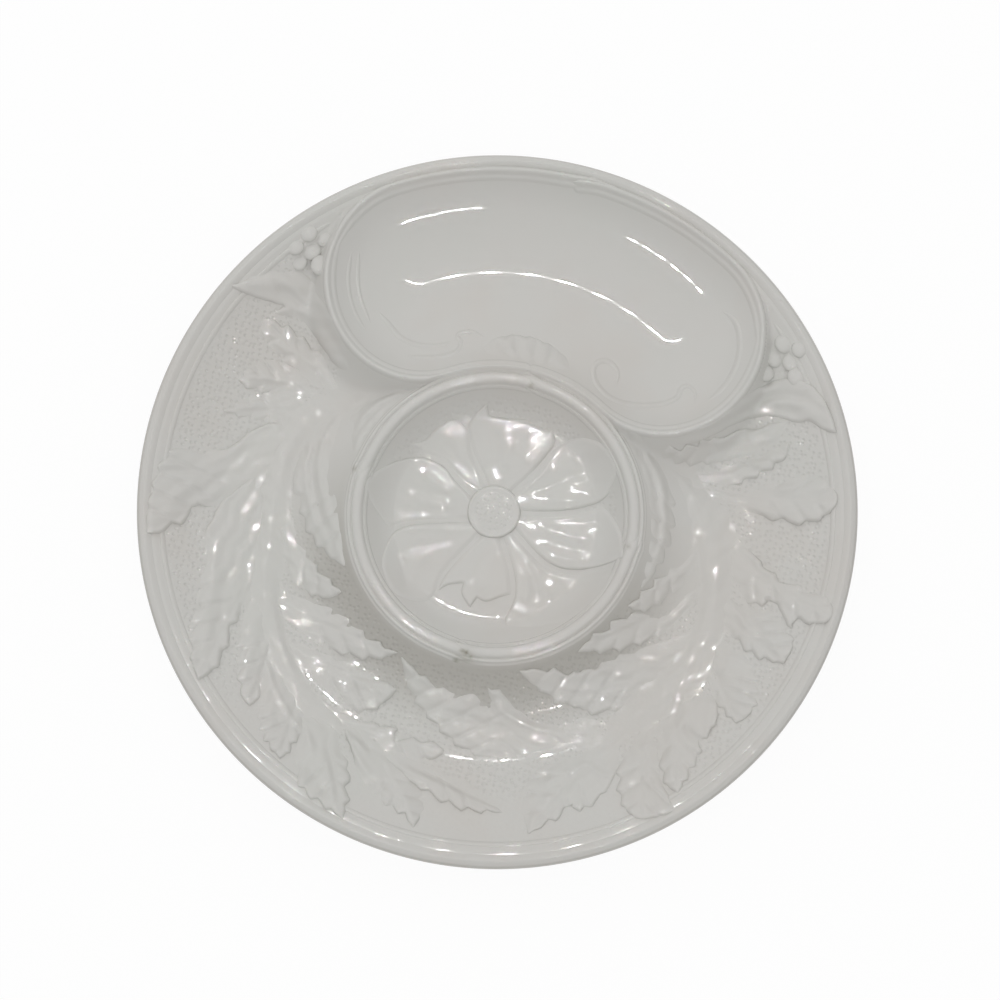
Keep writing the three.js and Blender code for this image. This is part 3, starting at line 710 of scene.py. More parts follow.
@dataclass
class Relief:
    """Blades that lie over one another and show one shared surface, each piece where it is uppermost."""

    blades: list[Blade]
    blend: float = 0.16
    grid: float = 0.55
    under: float = 0.6
    thickness: float = 1.2

    def build(self) -> list[bpy.types.Object]:
        """Returns the blades' pieces, dressed and standing for their nodes."""
        return [self.piece(index) for index in range(len(self.blades))]

    def surface(self, xy: np.ndarray) -> tuple[np.ndarray, np.ndarray]:
        """Returns the shared height above the ground at places, and each blade's own."""
        own = np.stack([blade.height(xy) for blade in self.blades])
        peak = own.max(0)
        return peak + self.blend * np.log(np.exp((own - peak) / self.blend).sum(0)), own

    def flat(self, blade: Blade) -> tuple[np.ndarray, list[list[int]]]:
        """Returns a blade's outline filled with points, closer together along its edge, and the faces between."""
        line = blade.line[:, :2]
        grid = self.grid * 1.0
        low, high = line.min(0), line.max(0)
        rows, columns = np.arange(low[1], high[1], grid * 0.87), np.arange(low[0], high[0], grid)
        cells = np.array([(x + (i % 2) * grid / 2, y) for i, y in enumerate(rows) for x in columns])
        gap, _ = path_distance(cells, blade.loop)
        rings = [self.ring(line, share * blade.edge) for share in (0.1, 0.35, 0.7)]
        points = np.vstack((line, *rings, cells[gap > 0.75 * blade.edge + 0.15 * grid]))
        edges = [(i, (i + 1) % len(line)) for i in range(len(line))]
        flat, _, faces, *_ = delaunay_2d_cdt([Vector(p) for p in points], edges, [], 1, 1e-4)
        return np.array([(v.x, v.y) for v in flat]), faces

    def piece(self, index: int) -> bpy.types.Object:
        """Returns the piece of one blade."""
        blade = self.blades[index]
        xy, faces = self.flat(blade)
        shared, own = self.surface(xy)
        mine = np.maximum(own[index], -blade.sink)
        over = np.delete(own, index, 0).max(0, initial=FAR_BELOW) - mine
        top = np.where(own[index] > FAR_BELOW + 1, shared, mine)
        top = np.maximum(top - self.under * rise(over, 0.05, 0.3), -blade.sink - 0.3)
        gap, _ = path_distance(xy, blade.loop)
        free = smooth(1 - gap) * rise(shared, 0.5, 0.6)
        ground = BLANK.upper(xy[:, 0], xy[:, 1])
        count = len(xy)
        solid = np.vstack((np.column_stack((xy, ground + top)), np.column_stack((xy, ground - self.thickness))))
        sides = {(a, b) for face in faces for a, b in zip(face, [*face[1:], face[0]])}
        skin = [tuple(f) for f in faces] + [tuple(count + i for i in reversed(f)) for f in faces]
        skin += [(b, a, count + a, count + b) for a, b in sides if (b, a) not in sides]
        # Painted shade: a little darkening along the blade's raised edges, where it steps down to the ground.
        pool = np.concatenate((0.08 * free, np.zeros(count)))
        bubbles = np.concatenate((self.bubbles(xy), np.zeros(count)))
        piece = Mesh(blade.node + "_glazed", solid, skin, {"pool": pool, "stipple": bubbles}).build(80.0)
        return fit(piece, GLAZE, blade.node)

    @staticmethod
    def bubbles(xy: np.ndarray) -> np.ndarray:
        """Returns how strongly the glaze is pitted by bubbles at places."""
        found = np.zeros(len(xy))
        for spot, (x, y) in zip(BUBBLES, VIEW.place(BUBBLES)):
            away = (xy[:, 0] - x) ** 2 + (xy[:, 1] - y) ** 2
            found = np.maximum(found, spot[3] * np.exp(-(away / spot[2] ** 2)))
        return found

    @staticmethod
    def ring(line: np.ndarray, inset: float) -> np.ndarray:
        """Returns the outline moved inwards, without points that come too near another part of it."""
        moved = line - outward(line) * inset
        gap, _ = path_distance(moved, np.vstack((line, line[:1])))
        return moved[gap > 0.9 * inset]


ROLL: Profile = [(math.sin(a), math.cos(a)) for a in np.linspace(-math.pi / 2, math.pi / 2, 13)]
REEDED: Profile = (
    (-1, 0), (-0.99, 0.2), (-0.95, 0.36), (-0.87, 0.44), (-0.78, 0.38), (-0.72, 0.2), (-0.67, 0.12), (-0.62, 0.22),
    (-0.56, 0.52), (-0.46, 0.8), (-0.3, 0.96), (-0.1, 1), (0.1, 0.94), (0.22, 0.78), (0.3, 0.56), (0.35, 0.46),
    (0.4, 0.5), (0.47, 0.62), (0.56, 0.66), (0.65, 0.58), (0.71, 0.38), (0.76, 0.26), (0.81, 0.3), (0.88, 0.32),
    (0.95, 0.2), (1, 0))
CREST: Profile = (
    (-1, 0), (-0.85, 0.18), (-0.66, 0.5), (-0.5, 0.82), (-0.36, 0.97), (-0.24, 1), (-0.12, 0.94), (0, 0.76),
    (0.1, 0.55), (0.2, 0.42), (0.3, 0.4), (0.4, 0.46), (0.52, 0.5), (0.64, 0.46), (0.76, 0.32), (0.88, 0.12), (1, 0))
BELL: Profile = [(u, 0.5 + 0.5 * math.cos(math.pi * u)) for u in np.linspace(-1, 1, 17)]


@dataclass(frozen=True)
class Stroke:
    """A moulding laid along a path on the blank, with its ends drawn in over a share of its length."""

    path: np.ndarray
    width: float
    height: float
    profile: Profile = tuple(ROLL)
    start_taper: float = 0.08
    end_taper: float = 0.08
    least: float = 0.25
    sink: float = 0.4
    step: float = 0.8

    def mesh(self, name: str) -> Mesh:
        """Returns the moulding as a closed mesh of that name."""
        step = np.hypot(*np.diff(self.path, axis=0).T)
        along = np.concatenate(([0.0], np.cumsum(step)))
        count = max(int(along[-1] / self.step), 6)
        at = np.linspace(0, along[-1], count + 1)
        spine = np.column_stack([np.interp(at, along, self.path[:, k]) for k in (0, 1)])
        ahead = np.gradient(spine, axis=0)
        normal = np.column_stack((-ahead[:, 1], ahead[:, 0])) / np.hypot(*ahead.T)[:, None]
        share = at / along[-1]
        ease = np.minimum(smooth(share / self.start_taper), smooth((1 - share) / self.end_taper))
        size = self.least + (1 - self.least) * np.sqrt(ease)
        rows, pool = [], []
        for p, side, s in zip(spine, normal, size):
            place = np.array([p + side * u * 0.5 * self.width * s for u, _ in self.profile])
            ground = BLANK.upper(place[:, 0], place[:, 1])
            rise = np.array([h for _, h in self.profile]) * (self.height + self.sink) * s - self.sink
            rows.append(np.column_stack((place, ground + rise)))
            back = np.column_stack((place[::-1], ground[::-1] - self.sink - 0.5))
            rows.append(back)
            # Painted shade: darker where the moulding meets the ground and on its hidden back.
            pool += [0.3 * max(0.0, 1 - h / 0.3) for _, h in self.profile] + [0.5] * len(back)
        ring = 2 * len(self.profile)
        ends = [tuple(range(ring - 1, -1, -1)), tuple(count * ring + k for k in range(ring))]
        return Mesh(name, np.vstack(rows), ring_faces(count + 1, ring) + ends, {"pool": np.array(pool)})


def joined(name: str, meshes: Sequence[Mesh]) -> bpy.types.Object:
    """Returns several closed meshes as one piece.

    Args:
        name: the piece's name.
        meshes: what it is made of.
    """
    points, faces, pool = [], [], []
    start = 0
    for mesh in meshes:
        points.append(mesh.points)
        faces += [tuple(start + i for i in f) for f in mesh.faces]
        pool.append(mesh.values["pool"])
        start += len(mesh.points)
    return Mesh(name, np.vstack(points), faces, {"pool": np.concatenate(pool)}).build()


def drawn(pixels: Pixels) -> np.ndarray:
    """Returns a smooth path on the blank through pixels of the picture."""
    return rounded(VIEW.place(pixels), 3, False)


@dataclass(frozen=True)
class PlateBody:
    """The blank's own skin, from the cup's floor over the rim to the underside."""

    segments: int = 640
    upper_rings: tuple[tuple[float, float, int], ...] = (
        (3, 36, 10), (36.8, 54, 24), (54.9, 121.4, 76), (123.0, 124.6, 2))
    edge: Profile = ((126.3, 24.0), (127.0, 22.9), (127.0, 21.6), (125.6, 19.7))
    under_rings: tuple[tuple[float, float, int], ...] = ((121.4, 81, 16), (79, 66, 5), (64, 44, 10), (30, 14, 2))
    edge_radius: float = 125.5
    edge_height: float = 23.5
    edge_pool: float = 0.8

    def build(self) -> bpy.types.Object:
        """Returns the body, dressed and standing for its node."""
        count = self.segments // 1
        radii = np.concatenate([np.linspace(*span) for span in self.upper_rings])
        under = np.concatenate([np.linspace(*span) for span in self.under_rings])
        turn = np.linspace(0, 2 * math.pi, count, endpoint=False)
        rows = [self.row(r, turn, BLANK.upper) for r in radii]
        rows += [self.row(r, turn, lambda x, y, z=z: np.full_like(x, z)) for r, z in self.edge]
        rows += [self.row(r, turn, BLANK.under) for r in under]
        points = np.vstack((*rows, [(0, 0, BLANK.upper(0.0, 0.0))], [(0, 0, BLANK.under(0.0, 0.0))]))
        upper = np.arange(len(points)) < len(radii) * count
        # Painted shade: the rim's outer edge is darkened where it turns down, and the cup's near outer wall and far
        # inner wall where shade falls.
        edge = (np.hypot(points[:, 0], points[:, 1]) > self.edge_radius) & (points[:, 2] < self.edge_height)
        values = {"stipple": self.stipple(points) * upper,
                  "pool": np.where(edge, self.edge_pool, self.pool(points) * upper)}
        piece = Mesh("plate_body_glazed", points, closed_faces(len(rows), count), values).build(70.0)
        return fit(piece, GLAZE, "plate_body")

    @staticmethod
    def row(r: float, turn: np.ndarray, height: Callable) -> np.ndarray:
        """Returns one ring of points at a radius, with heights from a function of place."""
        x, y = r * np.sin(turn), r * np.cos(turn)
        return np.column_stack((x, y, height(x, y)))

    @staticmethod
    def pool(points: np.ndarray) -> np.ndarray:
        """Returns how much painted shade darkens the glaze: most below the cup's near wall, a little inside its far
        wall.
        """
        x, y = points[:, 0], points[:, 1]
        r, turn = np.hypot(x, y), np.abs(np.arctan2(x, y))
        near = rise(turn, math.radians(70), math.radians(60))
        front = 0.8 * near * rise(r, 51, 4) * (1 - rise(r, 58, 24))
        return front + 0.12 * rise(y, 0, 25) * rise(r, 32, 6) * (1 - rise(r, 45, 2))

    @staticmethod
    def stipple(points: np.ndarray) -> np.ndarray:
        """Returns how strongly the ground is stippled at points."""
        x, y = points[:, 0], points[:, 1]
        r, turn = np.hypot(x, y), np.abs(np.arctan2(x, y))
        by_cup = rise(turn, math.radians(95), math.radians(25))
        ground = rise(r, 54, 3) * (1 - rise(r, 116, 2)) * (by_cup + (1 - by_cup) * rise(r, 72, 8))
        clear = rise(BLANK.dip_distance(x, y), 40, 5)
        front = 1 - 0.75 * rise(turn, math.radians(125), math.radians(25)) * rise(r, 97, 8)
        corner = rise(r, 31, 3) * (1 - rise(r, 42, 2)) * 0.7
        return np.maximum(ground * clear * front, corner * (y > 0))


@dataclass(frozen=True)
class Turning:
    """A ring with the section of a turned profile, spun about an upright line; painted shade darkens it beyond one
    radius.
    """

    node: str
    profile: Profile
    finish: Finish
    centre_y: float = 0.0
    pool_from: float = 1000.0
    steps: int = 360

    def build(self) -> bpy.types.Object:
        """Returns the ring, dressed and standing for its node."""
        bpy.ops.object.select_all(action="DESELECT")
        bpy.ops.mesh.primitive_circle_add(vertices=len(self.profile), radius=1.0)
        piece = bpy.context.object
        piece.name = self.node + "_" + self.finish.slot.value
        for vertex, (r, z) in zip(piece.data.vertices, self.profile):
            vertex.co = (r * MM, self.centre_y * MM, z * MM)
        bpy.ops.object.mode_set(mode="EDIT")
        bpy.ops.mesh.select_all(action="SELECT")
        bpy.ops.mesh.spin(steps=self.steps, angle=2 * math.pi, center=(0, self.centre_y * MM, 0), axis=(0, 0, 1))
        bpy.ops.mesh.select_all(action="SELECT")
        bpy.ops.mesh.remove_doubles(threshold=1e-6)
        bpy.ops.object.mode_set(mode="OBJECT")
        shade(piece, 50.0)
        r = np.array([math.hypot(v.co.x, v.co.y) for v in piece.data.vertices]) / MM
        # Painted shade on the ring beyond that radius.
        pool = 0.75 * smooth(r - self.pool_from)
        piece.data.attributes.new("pool", "FLOAT", "POINT").data.foreach_set("value", pool.astype(np.float32))
        return fit(piece, self.finish, self.node)


@dataclass(frozen=True)
class CupRing:
    """Four reeded lengths round the cup, each tucked under the next at a tie."""

    radius: float = 49.5
    width: float = 8.4
    height: float = 2.0
    ties: Pixels = ((530, 388), (630, 545), (460, 655), (355, 467))
    # Spots of an olive stain at the near tie and of painted shade in the recesses of all four ties.
    spots: Pixels = ((462, 651, 0.8, 0.6), (466, 653, 1.0, 0.75), (470, 657, 0.8, 0.5), (456, 661, 1.1, 0.55),
                     (462, 665, 0.9, 0.4), (466, 660, 3.6, 0.25), (531, 386, 0.9, 0.4), (354, 469, 0.8, 0.35),
                     (628, 547, 0.8, 0.3))
    overlap: float = math.radians(5.0)

    def build(self) -> list[bpy.types.Object]:
        """Returns the four reeds, dressed and standing for their nodes."""
        places = VIEW.place(self.ties)
        turns = np.unwrap(np.arctan2(places[:, 0], places[:, 1]))
        turns = np.append(turns, turns[0] + 2 * math.pi)
        return [self.reed(k, turns[k], turns[k + 1]) for k in range(4)]

    def reed(self, index: int, start: float, end: float) -> bpy.types.Object:
        """Returns one reed between two ties."""
        turn = np.linspace(start - self.overlap, end + self.overlap, 140)
        share = (turn - turn[0]) / (turn[-1] - turn[0])
        r = self.radius + 1.1 * (1 - smooth(share * 9)) - 0.9 * smooth((share - 0.9) * 10)
        path = np.column_stack((r * np.sin(turn), r * np.cos(turn)))
        node = f"cup_reed_{index + 1}"
        stroke = Stroke(path, self.width, self.height, REEDED, start_taper=0.06, end_taper=0.08, least=0.45, sink=0.5)
        mesh = stroke.mesh(node + "_glazed")
        mesh.values["stain"] = self.stain(mesh.points)
        return fit(mesh.build(55.0), GLAZE, node)

    def stain(self, points: np.ndarray) -> np.ndarray:
        """Returns how much a real stain and painted shade in the ties' recesses darken the glaze at points, each spot
        given by pixel, reach and strength.
        """
        found = np.zeros(len(points))
        for spot, (x, y) in zip(self.spots, VIEW.place(self.spots)):
            gap = np.hypot(points[:, 0] - x, points[:, 1] - y)
            found = np.maximum(found, spot[3] * np.exp(-((gap / spot[2]) ** 2)))
        return found


PETALS: tuple[tuple[str, Pixels], ...] = (
    ("north",
     ((487, 480, .32), (478, 465, .27), (471, 450, .32), (470, 436, .41), (467, 424, .54), (477, 412, .54),
      (487, 403, .59), (490, 416, .54), (508, 418, .5), (525, 419, .5), (540, 427, .45), (553, 430, .45),
      (557, 443, .5), (548, 454, .54), (535, 470, .45), (516, 487, .32), (500, 483, .27))),
    ("north_east",
     ((516, 490, .27), (536, 472, .23), (549, 452, .23), (560, 442, .36), (578, 436, .45), (598, 440, .45),
      (610, 450, .45), (619, 468, .45), (613, 485, .45), (606, 500, .5), (580, 509, .59), (555, 512, .54),
      (530, 511, .36))),
    ("east",
     ((531, 515, .27), (555, 516, .27), (580, 513, .27), (602, 504, .32), (613, 515, .41), (623, 535, .45),
      (624, 558, .5), (600, 567, .59), (570, 571, .63), (550, 565, .59), (536, 553, .5), (522, 535, .32))),
    ("south_east",
     ((520, 538, .27), (534, 556, .23), (549, 568, .23), (570, 574, .23), (600, 570, .23), (618, 566, .27),
      (614, 590, .27), (598, 608, .23), (570, 622, .23), (530, 630, .23), (505, 626, .36), (504, 618, .54),
      (511, 608, .59), (516, 594, .54), (514, 570, .45), (505, 549, .32))),
    ("south",
     ((503, 550, .27), (511, 570, .32), (512, 595, .36), (500, 597, .54), (486, 603, .59), (477, 598, .54),
      (470, 608, .59), (460, 594, .54), (463, 583, .54), (446, 585, .54), (438, 592, .5), (441, 580, .5),
      (455, 563, .45), (478, 545, .32), (490, 549, .27))),
    ("south_west",
     ((478, 543, .27), (455, 560, .32), (440, 578, .27), (437, 594, .36), (425, 604, .41), (396, 597, .41),
      (385, 580, .41), (380, 560, .45), (390, 534, .54), (405, 525, .59), (430, 523, .59), (466, 527, .41))),
    ("west",
     ((466, 525, .27), (430, 521, .27), (405, 522, .32), (389, 528, .41), (373, 507, .41), (362, 485, .41),
      (375, 470, .45), (400, 459, .59), (419, 456, .63), (431, 459, .63), (446, 467, .63), (455, 481, .54),
      (468, 495, .36))),
    ("north_west",
     ((482, 484, .27), (470, 478, .27), (458, 478, .27), (447, 464, .23), (434, 457, .23), (420, 455, .27),
      (409, 443, .45), (425, 441, .5), (436, 428, .5), (443, 424, .54), (451, 418, .54), (462, 422, .54),
      (470, 432, .41), (471, 450, .36), (478, 466, .32), (487, 480, .27))),
)
PETAL_MARKS: dict[str, tuple[Mark, ...]] = {
    "east": (Mark(.4, 3.8, ((543, 527), (562, 535), (592, 541))), Mark(.4, 3.8, ((538, 546), (555, 559), (583, 561))),
             Mark(-.3, 3.8, ((540, 538), (562, 548), (592, 551))),
             Mark(-.3, 3.8, ((545, 521), (575, 524), (602, 520)))),
    "south_west": (Mark(.4, 3.2, ((462, 530), (430, 527), (398, 531))),
                   Mark(-.35, 3.8, ((455, 540), (425, 545), (395, 552))),
                   Mark(.4, 3.8, ((428, 556), (414, 564), (414, 582))),
                   Mark(.3, 3.8, ((400, 549), (412, 547), (404, 561))),
                   Mark(-.35, 3.0, ((397, 556), (404, 570), (407, 590)))),
    "south_east": (Mark(.45, 3.2, ((519, 545), (535, 567), (552, 596))),
                   Mark(.45, 3.2, ((525, 572), (528, 589), (523, 604))),
                   Mark(-.4, 3.0, ((522, 556), (533, 580), (538, 602))),
                   Mark(.35, 3.0, ((507, 603), (519, 612), (536, 616))),
                   Mark(-.3, 3.0, ((541, 575), (548, 590), (550, 606)))),
    "west": (Mark(.35, 3.8, ((455, 493), (440, 487), (422, 474))),
             Mark(.3, 3.8, ((448, 505), (432, 503), (415, 499))),
             Mark(-.4, 3.8, ((462, 513), (430, 512), (395, 509))),
             Mark(-.25, 3.8, ((460, 500), (435, 495), (405, 487)))),
    "north": (Mark(-.3, 4.4, ((498, 478), (499, 455), (495, 428))),
              Mark(.3, 3.8, ((506, 470), (508, 455), (512, 438))),
              Mark(.35, 3.8, ((528, 468), (536, 457), (545, 448)))),
    "north_east": (Mark(.45, 3.8, ((518, 490), (538, 478), (551, 464))),
                   Mark(-.3, 4.4, ((530, 496), (565, 480), (600, 462))),
                   Mark(.35, 3.8, ((548, 500), (572, 502), (592, 500))),
                   Mark(.3, 3.8, ((572, 462), (582, 452), (596, 447)))),
    "south": (Mark(-.3, 3.8, ((489, 552), (478, 568), (474, 585))),
              Mark(.3, 3.8, ((480, 578), (479, 585), (484, 590)))),
    "north_west": (Mark(-.3, 3.8, ((474, 478), (455, 455), (440, 440))),
                   Mark(.3, 3.8, ((466, 462), (458, 445), (452, 430)))),
}


@dataclass(frozen=True)
class Flower:
    """Flower on the cup's floor: eight petals round a pitted disc."""

    disc_centre: Pixels = ((494, 512),)
    disc_radius: float = 9.4
    disc_height: float = 1.5
    disc_section: Profile = ((0, 1.75), (0.3, 1.8), (0.6, 1.72), (0.74, 1.6), (0.82, 1.7), (0.9, 1.85), (0.96, 1.6),
                             (1.0, 0.9), (1.02, -0.3), (0.5, -0.6), (0.0, -0.6))
    section_top: float = 1.85
    tuck_reach: float = 45.0
    tuck_to: float = 20.0

    def build(self) -> list[bpy.types.Object]:
        """Returns the petals and the disc, dressed and standing for their nodes."""
        blades = []
        for index, (name, outline) in enumerate(PETALS):
            tucked = [self.tucked(point) for point in outline]
            blades.append(Blade(f"flower_petal_{index + 1}", tucked, PETAL_MARKS[name], bulge=0.12, edge=1.1,
                                tooth=0.0, streak=0.015, streak_width=4.2, stretch=1.6, keep=0.55, soft=1.2,
                                dimple=0.0))
        return [*Relief(blades).build(), self.disc()]

    def tucked(self, point: tuple[float, float, float]) -> tuple[float, float, float]:
        """Returns an outline point, drawn in under the disc if it lies beside it."""
        x, y = self.disc_centre[0]
        across, down = point[0] - x, point[1] - y
        gap = math.hypot(across, down)
        if gap > self.tuck_reach:
            return point
        return x + across * self.tuck_to / gap, y + down * self.tuck_to / gap, point[2]

    def disc(self) -> bpy.types.Object:
        """Returns the disc with a rounded edge, a groove inside it and a pitted top."""
        x, y = VIEW.place(self.disc_centre)[0]
        turn = np.linspace(0, 2 * math.pi, 128, endpoint=False)
        steps = range(len(self.disc_section))
        at = np.linspace(0, steps[-1], 61)[1:-1]
        shares, heights = (np.interp(at, steps, column) for column in zip(*self.disc_section))
        rows = []
        for share, z in zip(shares, heights):
            reach = share * self.disc_radius
            level = np.full_like(turn, BLANK.cup_height + z / self.section_top * self.disc_height)
            rows.append(np.column_stack((x + reach * np.cos(turn), y + reach * np.sin(turn), level)))
        top = BLANK.cup_height + self.disc_section[0][1] / self.section_top * self.disc_height
        points = np.vstack((*rows, [(x, y, top)], [(x, y, BLANK.cup_height - 0.7)]))
        share = np.hypot(points[:, 0] - x, points[:, 1] - y) / self.disc_radius
        # Painted shade: a dark ring in the crease round the disc's foot.
        values = {"stipple": 0.8 * (share < 0.72) * (points[:, 2] > BLANK.cup_height + 1),
                  "pool": 0.5 * np.exp(-(((share - 1.01) / 0.03) ** 2))}
        piece = Mesh("flower_disc_glazed", points, closed_faces(len(rows), len(turn)), values).build(50.0)
        return fit(piece, GLAZE, "flower_disc")


@dataclass(frozen=True)
class DipWell:
    """The dip well's raised frame, the scrolls inside it, the shell between them and the fruit at its ends."""

    offset: float = 33.6
    width: float = 6.0
    height: float = 1.3
    spans: dict[Side, tuple[float, float]] = field(
        default_factory=lambda: {Side.LEFT: (-0.3, 1.35), Side.RIGHT: (0.0, 1.35)})

    def build(self) -> list[bpy.types.Object]:
        """Returns the pieces of the well's ornament, dressed and standing for their nodes."""
        pieces = []
        for side in Side:
            name = side.name.lower()
            ways = np.linspace(*self.spans[side], 100)
            far = [BLANK.well_edge(side.value, way, self.offset + self.lap(side, way)) for way in ways]
            near = [BLANK.well_edge(side.value, way, self.offset) for way in np.linspace(1.2, 3.03, 110)]
            start = 0.14 if side is Side.LEFT else 0.02
            strokes = {"far": Stroke(np.array(far), self.width, self.height, side.rim(), start, 0.2, 0.4),
                       "near": Stroke(np.array(near), self.width, self.height, side.rim(), 0.2, 0.02)}
            for length, stroke in strokes.items():
                node = f"dip_rim_{length}_{name}"
                pieces.append(fit(stroke.mesh(node + "_glazed").build(), GLAZE, node))
        pieces.append(self.scroll("dip_scroll_left", LEFT_SCROLL))
        pieces.append(self.scroll("dip_scroll_right", RIGHT_SCROLL))
        pieces += Relief([Blade("dip_shell", *SHELL, tooth=0.3, streak=0.03)]).build()
        for side, spots in ((Side.LEFT, LEFT_BERRIES), (Side.RIGHT, RIGHT_BERRIES)):
            pieces.append(self.berries(side, spots))
        return pieces

    @staticmethod
    def lap(side: Side, way: float) -> float:
        """Returns how far the far frame drifts out (left) or in (right) where its two lengths lap."""
        if side is Side.LEFT:
            return 1.2 * float(smooth(np.array((0.06 - way) / 0.2)))
        return -0.9 * float(smooth(np.array((0.16 - way) / 0.16)))

    @staticmethod
    def scroll(node: str, lines: Sequence[tuple[float, float, Pixels]]) -> bpy.types.Object:
        """Returns low scroll lines, each with a width and a height, as one piece."""
        meshes = [Stroke(drawn(path), width, height, tuple(BELL), 0.2, 0.2, 0.2, 0.1).mesh(node)
                  for width, height, path in lines]
        return fit(joined(node + "_glazed", meshes), GLAZE, node)

    @staticmethod
    def berries(side: Side, spots: Pixels) -> bpy.types.Object:
        """Returns a cluster of berries at pixels, each with its radius in millimetres."""
        balls = []
        for spot, (x, y) in zip(spots, VIEW.place(spots)):
            radius = spot[2]
            z = float(BLANK.upper(np.array(x), np.array(y))) - 0.2 * radius
            settled = float(BLANK.settle(np.array(x), np.array(y)))
            bpy.ops.mesh.primitive_uv_sphere_add(segments=36, ring_count=20, radius=radius * MM,
                                                 location=(x * MM, settled * MM, z * MM), scale=(1.0, 1.0, 0.5))
            bpy.ops.object.transform_apply(location=True, rotation=True, scale=True)
            balls.append(bpy.context.object)
        for ball in balls:
            ball.select_set(True)
        bpy.context.view_layer.objects.active = balls[0]
        bpy.ops.object.join()
        node = f"berries_{side.name.lower()}"
        piece = bpy.context.object
        piece.name = node + "_glazed"
        shade(piece, 60.0)
        return fit(piece, GLAZE, node)


LEFT_SCROLL = (
    (2.7, .38, ((378, 311), (390, 325), (400, 338), (420, 346), (440, 346), (452, 341))),
    (2.7, .38, ((405, 356), (435, 358), (458, 352), (462, 342), (455, 335), (470, 330), (485, 337))),
    (2.1, .30, ((352, 250), (347, 280), (353, 310), (367, 332))),
    (2.1, .30, ((359, 250), (357, 290), (371, 325))),
)
RIGHT_SCROLL = (
    (2.9, .41, ((615, 388), (620, 374), (612, 362), (600, 360), (592, 368), (596, 385), (612, 400), (640, 406),
                (665, 404), (679, 397), (680, 388), (689, 385), (697, 394), (694, 405))),
    (2.9, .38, ((722, 311), (736, 320), (741, 342), (737, 366), (724, 388), (706, 402))),
)
SHELL: Leaf = (
    ((478, 347, .4), (492, 338, .7), (512, 334, .9), (534, 337, .9), (554, 346, .8), (570, 360, .7), (575, 373, .3),
     (556, 372, .1), (530, 366, .1), (505, 361, .1), (486, 357, .2)),
    (Mark(-.6, 2.2, ((497, 339), (502, 349), (508, 360))), Mark(-.6, 2.2, ((515, 335), (517, 348), (519, 362))),
     Mark(-.6, 2.2, ((537, 338), (535, 352), (531, 366))), Mark(-.6, 2.2, ((555, 347), (549, 359), (542, 370))),
     Mark(.4, 2.6, ((506, 338), (511, 352))), Mark(.4, 2.6, ((526, 337), (526, 354))),
     Mark(.4, 2.6, ((546, 343), (541, 358)))),
)
LEFT_BERRIES = ((308, 232, 3.4), (324, 238, 3.2), (295, 246, 3.2), (311, 250, 3.6), (299, 262, 3.0), (321, 265, 3.8))
RIGHT_BERRIES = ((785, 343, 3.6), (800, 349, 3.0), (776, 358, 3.4), (792, 362, 3.4), (798, 376, 3.8), (766, 373, 3.0))
